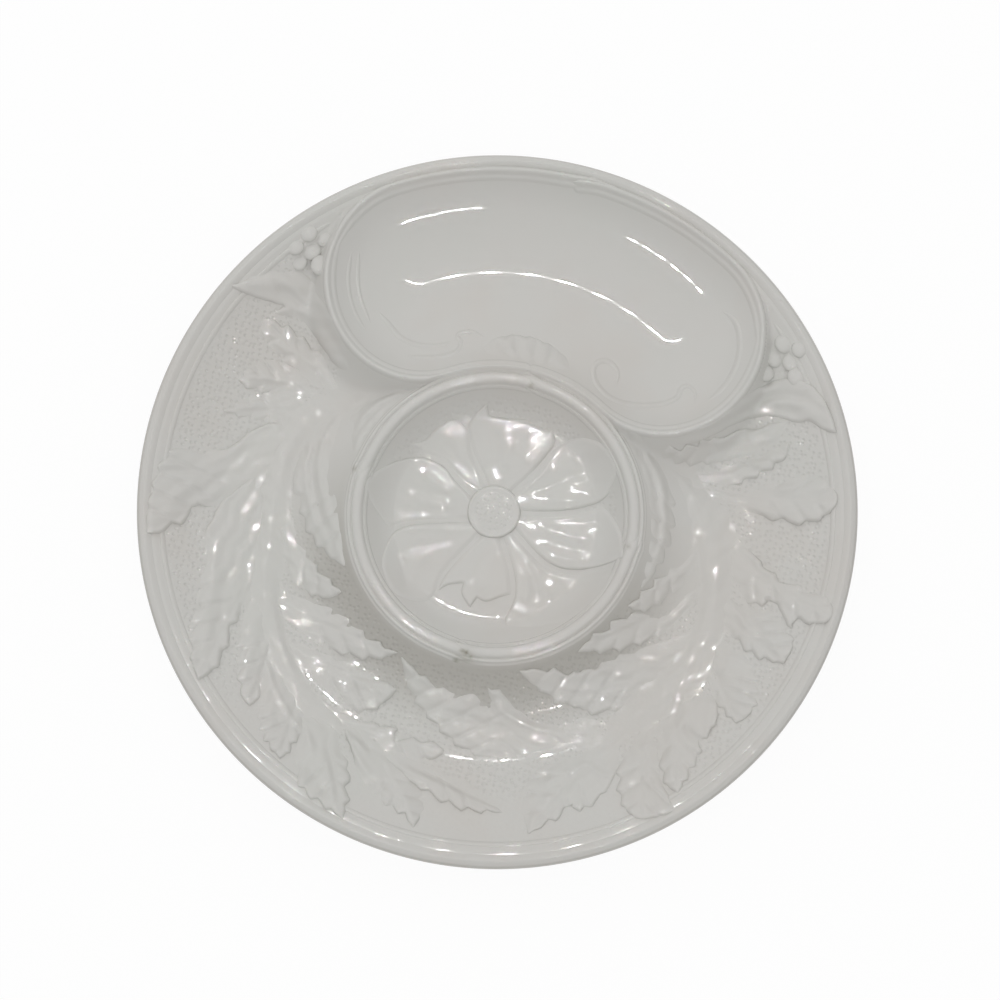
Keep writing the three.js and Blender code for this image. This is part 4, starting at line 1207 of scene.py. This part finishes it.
LEFT_OUTER: tuple[Leaf, ...] = (
    (((345, 388, .15), (333, 365, .45), (313, 347, 1.05), (290, 326, 1.15), (262, 317, .85), (258, 328, .45),
      (268, 348, .55), (284, 362, .65), (302, 380, .45), (325, 396, .05)),
     (Mark(.60, 3.0, ((265, 320), (290, 328), (313, 348))), Mark(.60, 3.0, ((285, 344), (300, 357), (318, 371))))),
    (((320, 400, .05), (308, 372, .15), (285, 358, .25), (262, 360, .45), (245, 370, .65), (237, 380, .85),
      (246, 388, .95), (260, 393, .85), (285, 394, .55), (305, 398, .15)),
     (Mark(.6, 3.2, ((244, 380), (268, 378), (296, 388))), Mark(-.5, 2.6, ((255, 388), (280, 386), (302, 393))))),
    (((310, 415, .05), (300, 388, .15), (275, 388, .25), (250, 396, .45), (222, 411, .85), (232, 415, .85),
      (252, 420, .65), (275, 424, .35), (295, 425, .05)),
     (Mark(.48, 2.4, ((226, 411), (262, 401), (302, 393))),)),
    (((300, 430, .05), (277, 420, .85), (250, 430, 1.15), (231, 448, 1.05), (205, 452, .55), (182, 443, .65),
      (164, 456, .95), (157, 470, .95), (150, 492, .85), (145, 515, 1.25), (146, 535, 1.85), (160, 534, 1.95),
      (173, 526, 1.75), (187, 521, 1.55), (198, 503, 1.25), (222, 512, .25), (255, 505, .15), (275, 470, .15)),
     (Mark(.60, 3.0, ((231, 450), (255, 432), (276, 420), (281, 433))),
      Mark(-.88, 2.5, ((158, 470), (175, 471), (200, 472))), Mark(.48, 3.8, ((200, 475), (180, 495), (163, 518))),
      Mark(.48, 3.0, ((208, 467), (220, 458), (240, 448))), Mark(-.62, 3.8, ((175, 508), (205, 490), (235, 465))))),
    (((275, 500, .05), (255, 474, .75), (235, 490, 1.05), (219, 503, 1.15), (213, 518, .85), (203, 533, .85),
      (205, 550, .45), (200, 575, .35), (195, 600, .45), (190, 640, .65), (191, 664, 1.15), (198, 680, 1.65),
      (209, 676, 1.75), (222, 661, 1.65), (229, 641, 1.55), (233, 624, 1.25), (245, 610, .45), (262, 590, .05),
      (272, 545, .05)),
     (Mark(.60, 2.7, ((220, 503), (238, 488), (256, 472))), Mark(.54, 2.7, ((203, 533), (210, 522), (217, 514))),
      Mark(.48, 4.5, ((215, 545), (210, 590), (202, 650))), Mark(-.62, 3.8, ((230, 560), (224, 600), (214, 645))))),
    (((285, 600, .05), (262, 575, .15), (245, 600, .45), (238, 630, .65), (236, 665, .65), (241, 700, 1.15),
      (250, 706, 1.35), (259, 700, 1.25), (264, 680, .45), (280, 660, .05)),
     (Mark(.60, 4.5, ((256, 600), (252, 640), (246, 690))),)),
    (((285, 670, .05), (262, 652, .55), (254, 690, .45), (257, 720, .65), (264, 742, .85), (280, 759, 1.45),
      (291, 752, 1.45), (297, 738, 1.05), (310, 735, .25), (305, 700, .05)),
     (Mark(.60, 2.4, ((262, 655), (275, 690), (295, 725), (307, 738))),
      Mark(.42, 4.5, ((265, 690), (270, 720), (279, 750))))),
    (((320, 712, .05), (300, 716, .45), (294, 745, .45), (295, 775, .65), (302, 792, 1.25), (321, 804, 1.45),
      (343, 820, 1.85), (349, 802, 1.55), (347, 782, 1.15), (353, 775, 1.15), (342, 752, .55), (345, 730, .05)),
     (Mark(.60, 2.7, ((300, 716), (309, 740), (316, 758))), Mark(.48, 4.5, ((318, 745), (328, 775), (338, 808))),
      Mark(-.62, 3.8, ((308, 760), (318, 785), (328, 800))))),
    (((350, 720, .05), (343, 732, 1.05), (352, 750, 1.05), (356, 775, .55), (372, 795, .55), (391, 808, .85),
      (402, 814, 1.05), (414, 828, 1.25), (424, 812, .65), (424, 795, .45), (416, 780, .65), (400, 768, .85),
      (382, 755, .45)),
     (Mark(.84, 2.7, ((343, 734), (358, 757), (376, 783))), Mark(.72, 2.7, ((345, 734), (365, 748), (398, 767))),
      Mark(-.88, 3.0, ((368, 790), (380, 785), (390, 787))), Mark(.48, 4.5, ((392, 775), (402, 795), (411, 820))))),
    (((372, 742, .05), (384, 757, .35), (404, 778, .85), (418, 787, 1.35), (437, 799, 1.45), (461, 810, 1.45),
      (480, 812, 1.25), (504, 813, .85), (490, 800, .45), (460, 785, .45), (430, 768, .25), (400, 748, .05)),
     (Mark(.72, 2.7, ((382, 757), (412, 773), (440, 785), (470, 799))),)),
)
LEFT_INNER: tuple[Leaf, ...] = (
    (((352, 402, .1), (334, 410, .3), (316, 426, .5), (303, 446, .7), (294, 470, .75), (291, 488, .85),
      (299, 500, .6), (301, 515, .85), (307, 532, .95), (317, 546, .95), (331, 559, .95), (344, 567, .85),
      (350, 556, .3), (345, 530, .15), (338, 502, .15), (332, 474, .15), (334, 446, .1), (344, 424, .1)),
     (Mark(.7, 2.8, ((338, 414), (322, 440), (318, 470), (326, 505), (338, 538))),
      Mark(.6, 2.6, ((318, 432), (305, 462), (306, 492), (314, 520), (328, 545))),
      Mark(-.7, 2.4, ((326, 428), (312, 455), (312, 485), (320, 515), (332, 542))),
      Mark(.5, 2.4, ((342, 428), (333, 452), (333, 480), (341, 512))))),
    (((272, 500, .05), (292, 512, .15), (300, 540, .35), (308, 556, .75), (322, 573, 1.05), (343, 592, 1.15),
      (331, 599, 1.25), (318, 599, 1.15), (302, 590, .55), (288, 580, .15), (275, 545, .05)),
     (Mark(.60, 3.0, ((308, 557), (322, 575), (340, 592))),)),
    (((268, 585, .05), (292, 592, .15), (318, 602, .55), (340, 612, .55), (356, 627, .65), (372, 640, .85),
      (399, 653, 1.15), (376, 661, 1.55), (352, 657, 1.45), (330, 650, .65), (308, 640, .35), (290, 630, .15),
      (275, 612, .05)),
     (Mark(.60, 3.3, ((320, 604), (350, 622), (372, 641), (394, 652))),
      Mark(-.50, 2.5, ((283, 628), (300, 625), (325, 632))))),
    (((275, 630, .05), (300, 640, .25), (325, 653, .45), (347, 660, .55), (367, 671, .65), (382, 680, .85),
      (398, 689, 1.15), (389, 700, 1.35), (378, 708, 1.35), (364, 714, .95), (345, 706, .45), (325, 690, .25),
      (300, 672, .05)),
     (Mark(.60, 4.5, ((290, 640), (320, 652), (345, 662))), Mark(-.62, 2.5, ((310, 677), (330, 690), (365, 695))),
      Mark(.60, 3.9, ((350, 680), (375, 684), (395, 690))))),
    (((308, 690, .05), (320, 697, .45), (342, 712, .65), (362, 722, .75), (382, 723, .85), (399, 730, 1.05),
      (396, 739, .95), (415, 739, .85), (432, 740, .85), (445, 750, 1.05), (438, 759, 1.05), (420, 762, .55),
      (398, 758, .25), (370, 745, .05), (340, 725, .05)),
     (Mark(.60, 3.3, ((320, 699), (342, 715), (362, 725), (395, 728))),
      Mark(.60, 3.3, ((395, 742), (420, 741), (440, 748))))),
)
LEFT_STEM: Leaf = (
    ((430, 384), (392, 386), (350, 384), (312, 391), (288, 406), (281, 425), (268, 450), (258, 480), (253, 520),
     (245, 560), (242, 600), (250, 640), (264, 660), (280, 690), (302, 720), (328, 736), (345, 733), (366, 747),
     (392, 761), (420, 773), (455, 790), (482, 800), (506, 806), (495, 794), (470, 780), (438, 765), (400, 754),
     (366, 736), (336, 712), (313, 688), (298, 660), (288, 632), (284, 600), (286, 570), (291, 540), (295, 512),
     (293, 480), (299, 455), (312, 434), (332, 420), (352, 424), (348, 448), (354, 462), (366, 440), (385, 415),
     (408, 398)),
    (Mark(.6, 2.4, ((438, 380), (402, 391), (372, 409), (352, 432), (345, 452))),
     Mark(.8, 2.4, ((424, 388), (390, 402), (366, 425), (352, 455))),
     Mark(.72, 3.0, ((405, 390), (374, 405), (352, 430))), Mark(-.62, 2.5, ((415, 390), (382, 403), (358, 430))),
     Mark(-.62, 2.8, ((395, 389), (362, 404), (340, 424))), Mark(-.50, 3.8, ((352, 388), (370, 386))),
     Mark(1.0, 8.0, ((320, 405), (285, 450), (268, 520), (265, 600), (285, 655), (320, 708)))),
)
RIGHT_OUTER: tuple[Leaf, ...] = (
    (((656, 446, .25), (672, 448, .85), (690, 447, 1.05), (708, 437, 1.05), (724, 438, .85), (742, 427, 1.05),
      (756, 430, .85), (770, 423, .95), (788, 420, .65), (785, 436, .55), (770, 448, .45), (752, 456, .65),
      (735, 459, .75), (705, 465, .85), (680, 465, .85), (660, 457, .55)),
     (Mark(.72, 3.0, ((665, 447), (685, 449), (708, 438))), Mark(.72, 3.0, ((715, 447), (728, 439), (741, 428))),
      Mark(.72, 3.0, ((745, 438), (757, 431), (768, 425))), Mark(-.50, 3.8, ((690, 457), (725, 450), (755, 444))))),
    (((688, 474, .15), (710, 466, .15), (735, 460, .25), (757, 455, .45), (775, 445, .65), (790, 442, .85),
      (788, 458, .95), (771, 469, 1.15), (756, 477, 1.15), (740, 484, .95), (722, 488, .55), (700, 484, .25)),
     (Mark(.60, 3.0, ((735, 463), (750, 458), (765, 448))), Mark(.60, 3.0, ((758, 470), (765, 462), (775, 460))))),
    (((700, 480, .15), (720, 489, .65), (736, 494, .65), (760, 485, .35), (785, 478, .45), (806, 474, .55),
      (826, 479, .65), (839, 494, .95), (837, 508, 1.55), (816, 523, 1.75), (795, 525, 1.65), (775, 520, 1.35),
      (755, 515, .65), (735, 512, .25), (715, 502, .15)),
     (Mark(.60, 3.3, ((745, 487), (775, 486), (805, 490))), Mark(.60, 3.0, ((745, 507), (760, 512), (780, 515))),
      Mark(-.50, 3.8, ((770, 500), (795, 500), (825, 498))))),
    (((722, 520, .05), (738, 540, .35), (752, 552, .95), (766, 567, 1.05), (781, 581, .95), (806, 589, .65),
      (829, 598, .65), (836, 612, 1.15), (829, 624, 1.75), (810, 625, 1.75), (799, 620, 1.55), (793, 629, 1.45),
      (785, 620, 1.45), (775, 607, 1.35), (768, 598, 1.15), (762, 608, 1.15), (750, 604, .85), (736, 592, .25),
      (722, 570, .05)),
     (Mark(.6, 3.2, ((728, 560), (731, 572), (736, 584))), Mark(.6, 3.2, ((725, 528), (738, 536), (750, 548))),
      Mark(.72, 2.7, ((752, 556), (762, 570), (776, 583))), Mark(.60, 3.0, ((748, 582), (755, 574), (763, 577))),
      Mark(.48, 4.5, ((775, 595), (800, 603), (825, 612))))),
    (((712, 595, .05), (729, 598, .65), (746, 610, .75), (760, 606, .45), (776, 612, .55), (788, 628, .65),
      (796, 645, .95), (784, 664, 1.45), (760, 660, 1.35), (747, 652, 1.25), (738, 642, .95), (726, 634, .25),
      (712, 618, .05)),
     (Mark(.72, 2.7, ((730, 600), (742, 618), (748, 632))), Mark(.60, 3.0, ((730, 636), (745, 634), (760, 640))),
      Mark(.48, 4.5, ((760, 620), (772, 640), (780, 658))))),
    (((708, 640, .05), (726, 640, .35), (742, 648, .55), (752, 662, .65), (759, 684, .65), (758, 702, .75),
      (750, 716, 1.05), (736, 724, 1.25), (722, 711, 1.05), (713, 700, .45), (705, 672, .05)),
     (Mark(.60, 3.0, ((728, 654), (738, 662), (746, 660))), Mark(.60, 3.0, ((722, 668), (732, 678), (738, 680))),
      Mark(.48, 4.5, ((735, 680), (742, 695), (745, 710))))),
    (((690, 690, .05), (712, 692, .45), (719, 708, 1.05), (717, 723, 1.15), (709, 735, 1.05), (699, 744, 1.05),
      (701, 756, .85), (693, 767, .85), (687, 779, .95), (678, 794, 1.45), (665, 786, 1.25), (660, 770, 1.05),
      (659, 750, .65), (654, 735, .25), (665, 712, .05)),
     (Mark(.60, 2.7, ((717, 711), (715, 724), (704, 735))), Mark(-.88, 3.0, ((704, 741), (692, 738), (684, 724))),
      Mark(.60, 3.0, ((690, 706), (684, 722), (676, 730), (668, 728))),
      Mark(.48, 4.5, ((672, 745), (672, 770), (676, 790))))),
    (((668, 722, .05), (655, 734, .55), (659, 756, .65), (662, 780, .65), (668, 801, .95), (681, 812, 1.35),
      (660, 817, 1.05), (642, 820, 1.05), (631, 817, 1.25), (620, 803, 1.15), (617, 785, 1.05), (618, 760, .75),
      (632, 742, .45), (645, 725, .05)),
     (Mark(.72, 2.7, ((642, 733), (640, 748), (652, 742), (657, 755))),
      Mark(-.75, 3.2, ((641, 778), (648, 782), (652, 778))), Mark(.48, 4.5, ((640, 765), (640, 790), (636, 812))))),
    (((630, 735, .05), (622, 760, .35), (615, 776, .95), (606, 793, .95), (591, 806, .95), (580, 813, 1.05),
      (571, 804, .95), (562, 816, 1.05), (549, 823, 1.05), (541, 827, 1.05), (528, 835, .95), (523, 818, .45),
      (522, 798, .35), (526, 782, .45), (538, 768, .65), (558, 759, .65), (577, 752, .25), (600, 742, .05)),
     (Mark(.72, 3.0, ((548, 783), (558, 776), (570, 772))),
      Mark(.72, 2.4, ((577, 768), (588, 763), (598, 774), (613, 777))),
      Mark(.60, 3.0, ((545, 800), (552, 792), (562, 787))), Mark(-.50, 3.0, ((530, 775), (542, 780), (550, 775))))),
)
RIGHT_INNER: tuple[Leaf, ...] = (
    (((606, 404, .1), (626, 418, .3), (646, 438, .45), (662, 464, .55), (673, 492, .7), (676, 515, .75),
      (672, 540, .75), (664, 560, .8), (650, 580, .85), (640, 590, .8), (645, 566, .4), (650, 540, .2),
      (650, 512, .15), (644, 484, .15), (632, 456, .1), (618, 430, .1)),
     (Mark(.7, 2.6, ((618, 416), (644, 444), (660, 478), (666, 512), (662, 545), (648, 576))),
      Mark(-.6, 2.2, ((622, 428), (645, 458), (656, 490), (659, 520), (655, 550))),
      Mark(.5, 2.4, ((624, 440), (641, 466), (650, 496), (652, 524), (649, 552))))),
    (((700, 530, .05), (683, 562, .45), (662, 575, .95), (645, 590, 1.05), (627, 606, 1.25), (636, 612, 1.15),
      (652, 610, .85), (670, 596, .65), (690, 582, .15), (702, 560, .05)),
     (Mark(.60, 3.0, ((660, 577), (642, 594), (629, 605))),)),
    (((705, 575, .05), (680, 598, .25), (655, 614, .55), (634, 613, .85), (613, 620, .95), (606, 630, .75),
      (590, 636, .95), (577, 652, 1.25), (605, 653, 1.55), (626, 649, 1.55), (646, 642, .95), (668, 634, .45),
      (695, 612, .05)),
     (Mark(.60, 2.7, ((590, 635), (602, 631), (613, 628))), Mark(.60, 2.7, ((612, 620), (622, 616), (635, 614))),
      Mark(-.50, 3.0, ((625, 632), (650, 626), (675, 612))))),
    (((700, 625, .05), (672, 636, .35), (648, 645, .65), (632, 652, .65), (612, 657, .65), (601, 666, .85),
      (586, 667, .75), (577, 675, .85), (550, 668, .85), (518, 670, .95), (530, 684, .95), (546, 694, .95),
      (553, 702, .85), (562, 707, 1.05), (578, 706, 1.05), (584, 714, 1.05), (612, 714, .85), (640, 695, .25),
      (675, 668, .05)),
     (Mark(.60, 3.0, ((520, 671), (548, 669), (575, 676))), Mark(.60, 3.0, ((578, 672), (594, 667), (608, 671))),
      Mark(.60, 3.0, ((610, 658), (625, 659), (640, 663))), Mark(.60, 3.0, ((636, 650), (648, 643), (662, 638))),
      Mark(-.62, 3.0, ((555, 686), (600, 686), (640, 680))), Mark(.48, 3.6, ((555, 684), (600, 692), (640, 686))))),
    (((401, 656, .85), (411, 665, .85), (426, 678, .85), (441, 688, .75), (455, 693, .45), (468, 690, .45),
      (480, 698, .65), (490, 708, .55), (486, 684, .85), (498, 690, .85), (509, 699, .75), (522, 712, .65),
      (542, 720, .45), (562, 722, .25), (590, 712, .15), (606, 722, .15), (600, 737, .25), (572, 745, .45),
      (546, 752, .5), (520, 758, .5), (494, 760, .6), (470, 754, .8), (450, 741, .95), (430, 720, 1.05),
      (415, 702, .75), (404, 680, .75)),
     (Mark(.72, 3.0, ((403, 660), (418, 675), (434, 686), (452, 700))),
      Mark(.72, 3.0, ((487, 688), (500, 712), (530, 727), (560, 732))),
      Mark(-.62, 3.0, ((420, 704), (445, 712), (480, 722), (520, 731))),
      Mark(.60, 3.0, ((460, 694), (480, 708), (500, 722))), Mark(.48, 3.0, ((488, 686), (500, 695), (512, 706))))),
)
RIGHT_STEM: Leaf = (
    ((588, 393), (622, 416), (650, 446), (678, 468), (704, 486), (726, 500), (740, 528), (746, 556), (734, 590),
     (732, 620), (724, 650), (713, 682), (697, 704), (676, 718), (652, 732), (628, 745), (600, 748), (570, 752),
     (545, 760), (524, 770), (500, 780), (490, 778), (503, 769), (517, 759), (540, 744), (570, 736), (602, 731),
     (604, 716), (628, 695), (652, 675), (676, 655), (690, 630), (697, 602), (696, 572), (692, 545), (687, 515),
     (680, 490), (664, 466), (646, 441), (620, 421)),
    (Mark(.6, 2.4, ((594, 398), (630, 431), (655, 463), (668, 492))),
     Mark(-.5, 2.0, ((600, 401), (636, 434), (664, 470))),
     Mark(.6, 2.4, ((604, 402), (640, 436), (672, 474), (684, 505))),
     Mark(-.50, 2.5, ((612, 410), (648, 446), (676, 484))),
     Mark(1.0, 8.0, ((678, 480), (696, 512), (710, 550), (715, 590), (705, 640), (672, 690), (630, 720))),
     Mark(-.62, 3.8, ((697, 582), (701, 586))), Mark(-.62, 3.8, ((673, 701), (682, 702)))),
)
HUSKS: dict[Side, Leaf] = {
    Side.LEFT: (((228, 286, 1.3), (243, 281, .8), (258, 272, .6), (278, 268, .5), (298, 270, .6), (312, 278, .8),
                 (322, 296, .8), (336, 320, .7), (348, 345, .6), (353, 374, .4), (337, 369, .9), (323, 349, 1.0),
                 (306, 324, 1.0), (296, 318, .9), (272, 314, .7), (284, 306, .9), (263, 300, 1.3), (244, 294, 1.5)),
                (Mark(-1.12, 3.0, ((276, 288), (292, 296), (306, 309))),
                 Mark(.72, 4.5, ((266, 284), (284, 282), (305, 296))),
                 Mark(-.88, 3.0, ((288, 312), (302, 318), (314, 332))),
                 Mark(.84, 4.5, ((320, 338), (332, 354), (339, 368))),
                 Mark(-1.00, 3.0, ((314, 284), (324, 300), (336, 316))),
                 Mark(.60, 4.5, ((240, 286), (258, 284), (276, 276))),
                 Mark(.60, 4.5, ((296, 300), (312, 318), (328, 342))),
                 Mark(-.62, 3.0, ((322, 325), (336, 344), (346, 362))))),
    Side.RIGHT: (((640, 429, .2), (668, 430, .4), (698, 424, .5), (726, 410, .6), (750, 392, .7), (770, 381, .8),
                  (792, 376, .9), (812, 384, .9), (824, 398, 1.0), (832, 414, 1.2), (838, 434, 1.6), (824, 432, 1.6),
                  (810, 420, 1.4), (796, 424, 1.2), (776, 416, 1.1), (755, 417, 1.0), (735, 424, 1.0), (712, 437, .9),
                  (690, 446, .8), (660, 446, .5)),
                 (Mark(-1.25, 3.2,
                       ((648, 436), (690, 438), (720, 427), (745, 412), (765, 398), (787, 393), (815, 405))),
                  Mark(.60, 4.5, ((660, 431), (700, 428), (738, 408), (770, 387), (795, 382), (815, 392))),
                  Mark(.72, 4.5,
                       ((670, 443), (700, 440), (730, 428), (757, 408), (786, 402), (808, 410), (828, 428))),
                  Mark(-.62, 3.0, ((768, 409), (786, 408), (800, 416))),
                  Mark(.60, 3.6, ((806, 392), (820, 402), (830, 416))))),
}


@dataclass(frozen=True)
class Spray:
    """One acanthus spray: a stem and the leaves to both sides of it."""

    side: Side
    outer: tuple[Leaf, ...]
    inner: tuple[Leaf, ...]
    stem: Leaf
    stem_lift: float = 0.12
    lobe: float = 1.9

    def blades(self) -> list[Blade]:
        """Returns the spray's stem, husk and leaves."""
        name = self.side.name.lower()
        outline, marks = self.stem
        outline = [(*pixel, self.stem_lift) for pixel in outline]
        blades = [Blade(f"{name}_stem", outline, marks, bulge=0.8, bulge_reach=7.0, edge=1.2, tooth=0.0, streak=0.1,
                        streak_width=6.0)]
        blades.append(Blade(f"husk_{name}", *HUSKS[self.side]))
        for row, leaves in (("outer", self.outer), ("inner", self.inner)):
            blades += [Blade(f"{name}_{row}_leaf_{i + 1}", *leaf, lobe=self.lobe) for i, leaf in enumerate(leaves)]
        return blades


@dataclass(frozen=True)
class RimLine:
    """The fine raised line inside the rim's bead, from one end of the dip well to the other."""

    radius: float = 118.4
    width: float = 2.0
    height: float = 0.45
    gap: float = math.radians(42.0)

    def build(self) -> bpy.types.Object:
        """Returns the line, dressed and standing for its node."""
        turn = np.linspace(self.gap, 2 * math.pi - self.gap, 720)
        path = np.column_stack((self.radius * np.sin(turn), self.radius * np.cos(turn)))
        stroke = Stroke(path, self.width, self.height, tuple(ROLL), 0.02, 0.02)
        return fit(stroke.mesh("rim_line_glazed").build(), GLAZE, "rim_line")


@dataclass(frozen=True)
class Studio:
    """Pale floor, three soft lights and a loop of small lamps round the camera that only the glaze mirrors.

    Places are in the picture's own directions: right, away and up, in metres. An arc of the loop is its first
    lamp's turn from away, the turn from lamp to lamp, in degrees, and how many lamps it has.
    """

    floor_colour: Colour = (0.95, 0.95, 0.95)
    floor_glow: float = 0.94
    floor_size: float = 6.0
    sky: float = 0.545
    softboxes: tuple[tuple[str, tuple[float, float, float], float, float], ...] = (
        ("back_softbox", (-0.35, 1.05, 1.0), 1.2, 4.6), ("front_softbox", (0.2, -1.1, 0.9), 1.0, 0.9),
        ("top_softbox", (0.0, -0.1, 1.2), 0.8, 3.0))
    loop_power: float = 7.0
    loop_radius: float = 0.4
    loop_centre: tuple[float, float, float] = (0.0, -0.139, 1.0)
    lamp_width: float = 0.008
    back_arc: tuple[float, float, int] = (-15.0, 2.9, 15)
    back_lengths: tuple[float, ...] = (0.7, 1.0, 0.7)
    front_arcs: tuple[tuple[float, float, int], ...] = ((142.0, 5.2, 7), (226.0, 5.2, 6))
    front_length: float = 2.4

    def build(self) -> None:
        """Builds the floor, the lamps and the sky."""
        bpy.ops.object.select_all(action="DESELECT")
        bpy.ops.mesh.primitive_plane_add(size=self.floor_size, location=(0, 0, 0))
        floor = bpy.context.object
        floor.name = "floor"
        n = Nodes("floor")
        diffuse = n.add("BsdfDiffuse", {"Color": (*self.floor_colour, 1.0)})
        glow = n.add("Emission", {"Color": (1.0, 1.0, 1.0, 1.0), "Strength": 1.0})
        path = n.add("LightPath").outputs
        seen = n.add("Math", {0: path["Is Camera Ray"], 1: path["Is Glossy Ray"]}, operation="MAXIMUM")
        seen = n.add("Math", {0: seen.outputs[0], 1: path["Is Transmission Ray"]}, operation="MAXIMUM")
        share = n.add("Math", {0: seen.outputs[0], 1: self.floor_glow}, operation="MULTIPLY")
        mix = n.add("MixShader", {0: share.outputs[0], 1: diffuse.outputs[0], 2: glow.outputs[0]})
        n.add("OutputMaterial", {"Surface": mix.outputs[0]})
        floor.data.materials.append(n.material)
        for name, at, side, power in self.softboxes:
            self.lamp(name, at, (side, side), power, False)
        first, step, count = self.back_arc
        spans = [(first + step * k, self.back_lengths[k % len(self.back_lengths)]) for k in range(count)]
        for first, step, count in self.front_arcs:
            spans += [(first + step * k, self.front_length) for k in range(count)]
        whole = sum(length for _, length in spans)
        for index, (turn, length) in enumerate(spans):
            a = math.radians(turn)
            x, y, z = self.loop_centre
            at = (x + self.loop_radius * math.sin(a), y + self.loop_radius * math.cos(a), z)
            side = self.loop_radius * math.radians(length)
            self.lamp(f"loop_{index + 1}", at, (side, self.lamp_width), self.loop_power * length / whole, True, -a)
        world = bpy.data.worlds.new("sky")
        world.use_nodes = True
        world.node_tree.nodes["Background"].inputs["Color"].default_value = (1.0, 1.0, 1.0, 1.0)
        world.node_tree.nodes["Background"].inputs["Strength"].default_value = self.sky
        bpy.context.scene.world = world
        bpy.context.scene.view_settings.view_transform = "Standard"

    @staticmethod
    def lamp(name: str, at: Sequence[float], size: tuple[float, float], power: float, mirrored: bool,
             twist: float = 0.0) -> None:
        """Adds an area lamp that faces the plate.

        Args:
            name: the lamp's name.
            at: its place in the picture's own directions: right, away and up, in metres.
            size: its two sides in metres.
            power: its watts.
            mirrored: whether it is only mirrored in the glaze, in place of lighting it.
            twist: angle of its first side from the picture's right, seen from above.
        """
        data = bpy.data.lights.new(name, "AREA")
        data.shape = "RECTANGLE"
        data.size, data.size_y = size
        data.energy = power
        lamp = bpy.data.objects.new(name, data)
        turn = Matrix.Rotation(VIEW.azimuth, 3, "Z")
        place = turn @ Vector(at)
        right = turn @ Vector((math.cos(twist), math.sin(twist), 0))
        back = place.normalized()
        up = back.cross(right).normalized()
        right = up.cross(back)
        lamp.matrix_world = Matrix((right, up, back)).transposed().to_4x4()
        lamp.location = place
        lamp.visible_camera = False
        lamp.visible_glossy = mirrored
        lamp.visible_diffuse = not mirrored
        bpy.context.scene.collection.objects.link(lamp)


@dataclass(frozen=True)
class Bead:
    """Section of the rim's bead, in millimetres, with the power of its curve."""

    middle: float = 124.3
    half_width: float = 2.3
    foot: float = 23.3
    shoulder: float = 23.9
    crown: float = 1.5
    power: float = 1.4

    def section(self) -> Profile:
        """Returns the section from the outer edge over the crown to the inner edge and along the foot."""
        over = [(self.middle + self.half_width * c, self.shoulder + self.crown * (1 - abs(c) ** self.power))
                for c in np.linspace(1, -1, 25)]
        return (*over, (self.middle - self.half_width, self.foot), (self.middle + self.half_width, self.foot))


FOOT: Profile = (
    (71.2, 3.9), (71.2, 1.0), (71.7, 0.3), (72.6, 0.0), (77.4, 0.0), (78.3, 0.3), (78.8, 1.0), (78.8, 3.9))
FOOT_OFFSET = -2.24
# Radius beyond which the rim bead's outer side gets painted shade.
BEAD_SHADE_FROM = 125.7


def main() -> None:
    """Builds the plate piece by piece, then the studio and the camera."""
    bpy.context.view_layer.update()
    PlateBody().build()
    Turning("rim_bead", Bead().section(), GLAZE, pool_from=BEAD_SHADE_FROM).build()
    Turning("foot_ring", FOOT, CLAY, FOOT_OFFSET).build()
    RimLine().build()
    CupRing().build()
    Flower().build()
    DipWell().build()
    left = Spray(Side.LEFT, LEFT_OUTER, LEFT_INNER, LEFT_STEM)
    right = Spray(Side.RIGHT, RIGHT_OUTER, RIGHT_INNER, RIGHT_STEM)
    Relief(left.blades() + right.blades()).build()
    Studio().build()
    VIEW.build()


if __name__ == "__main__":
    main()
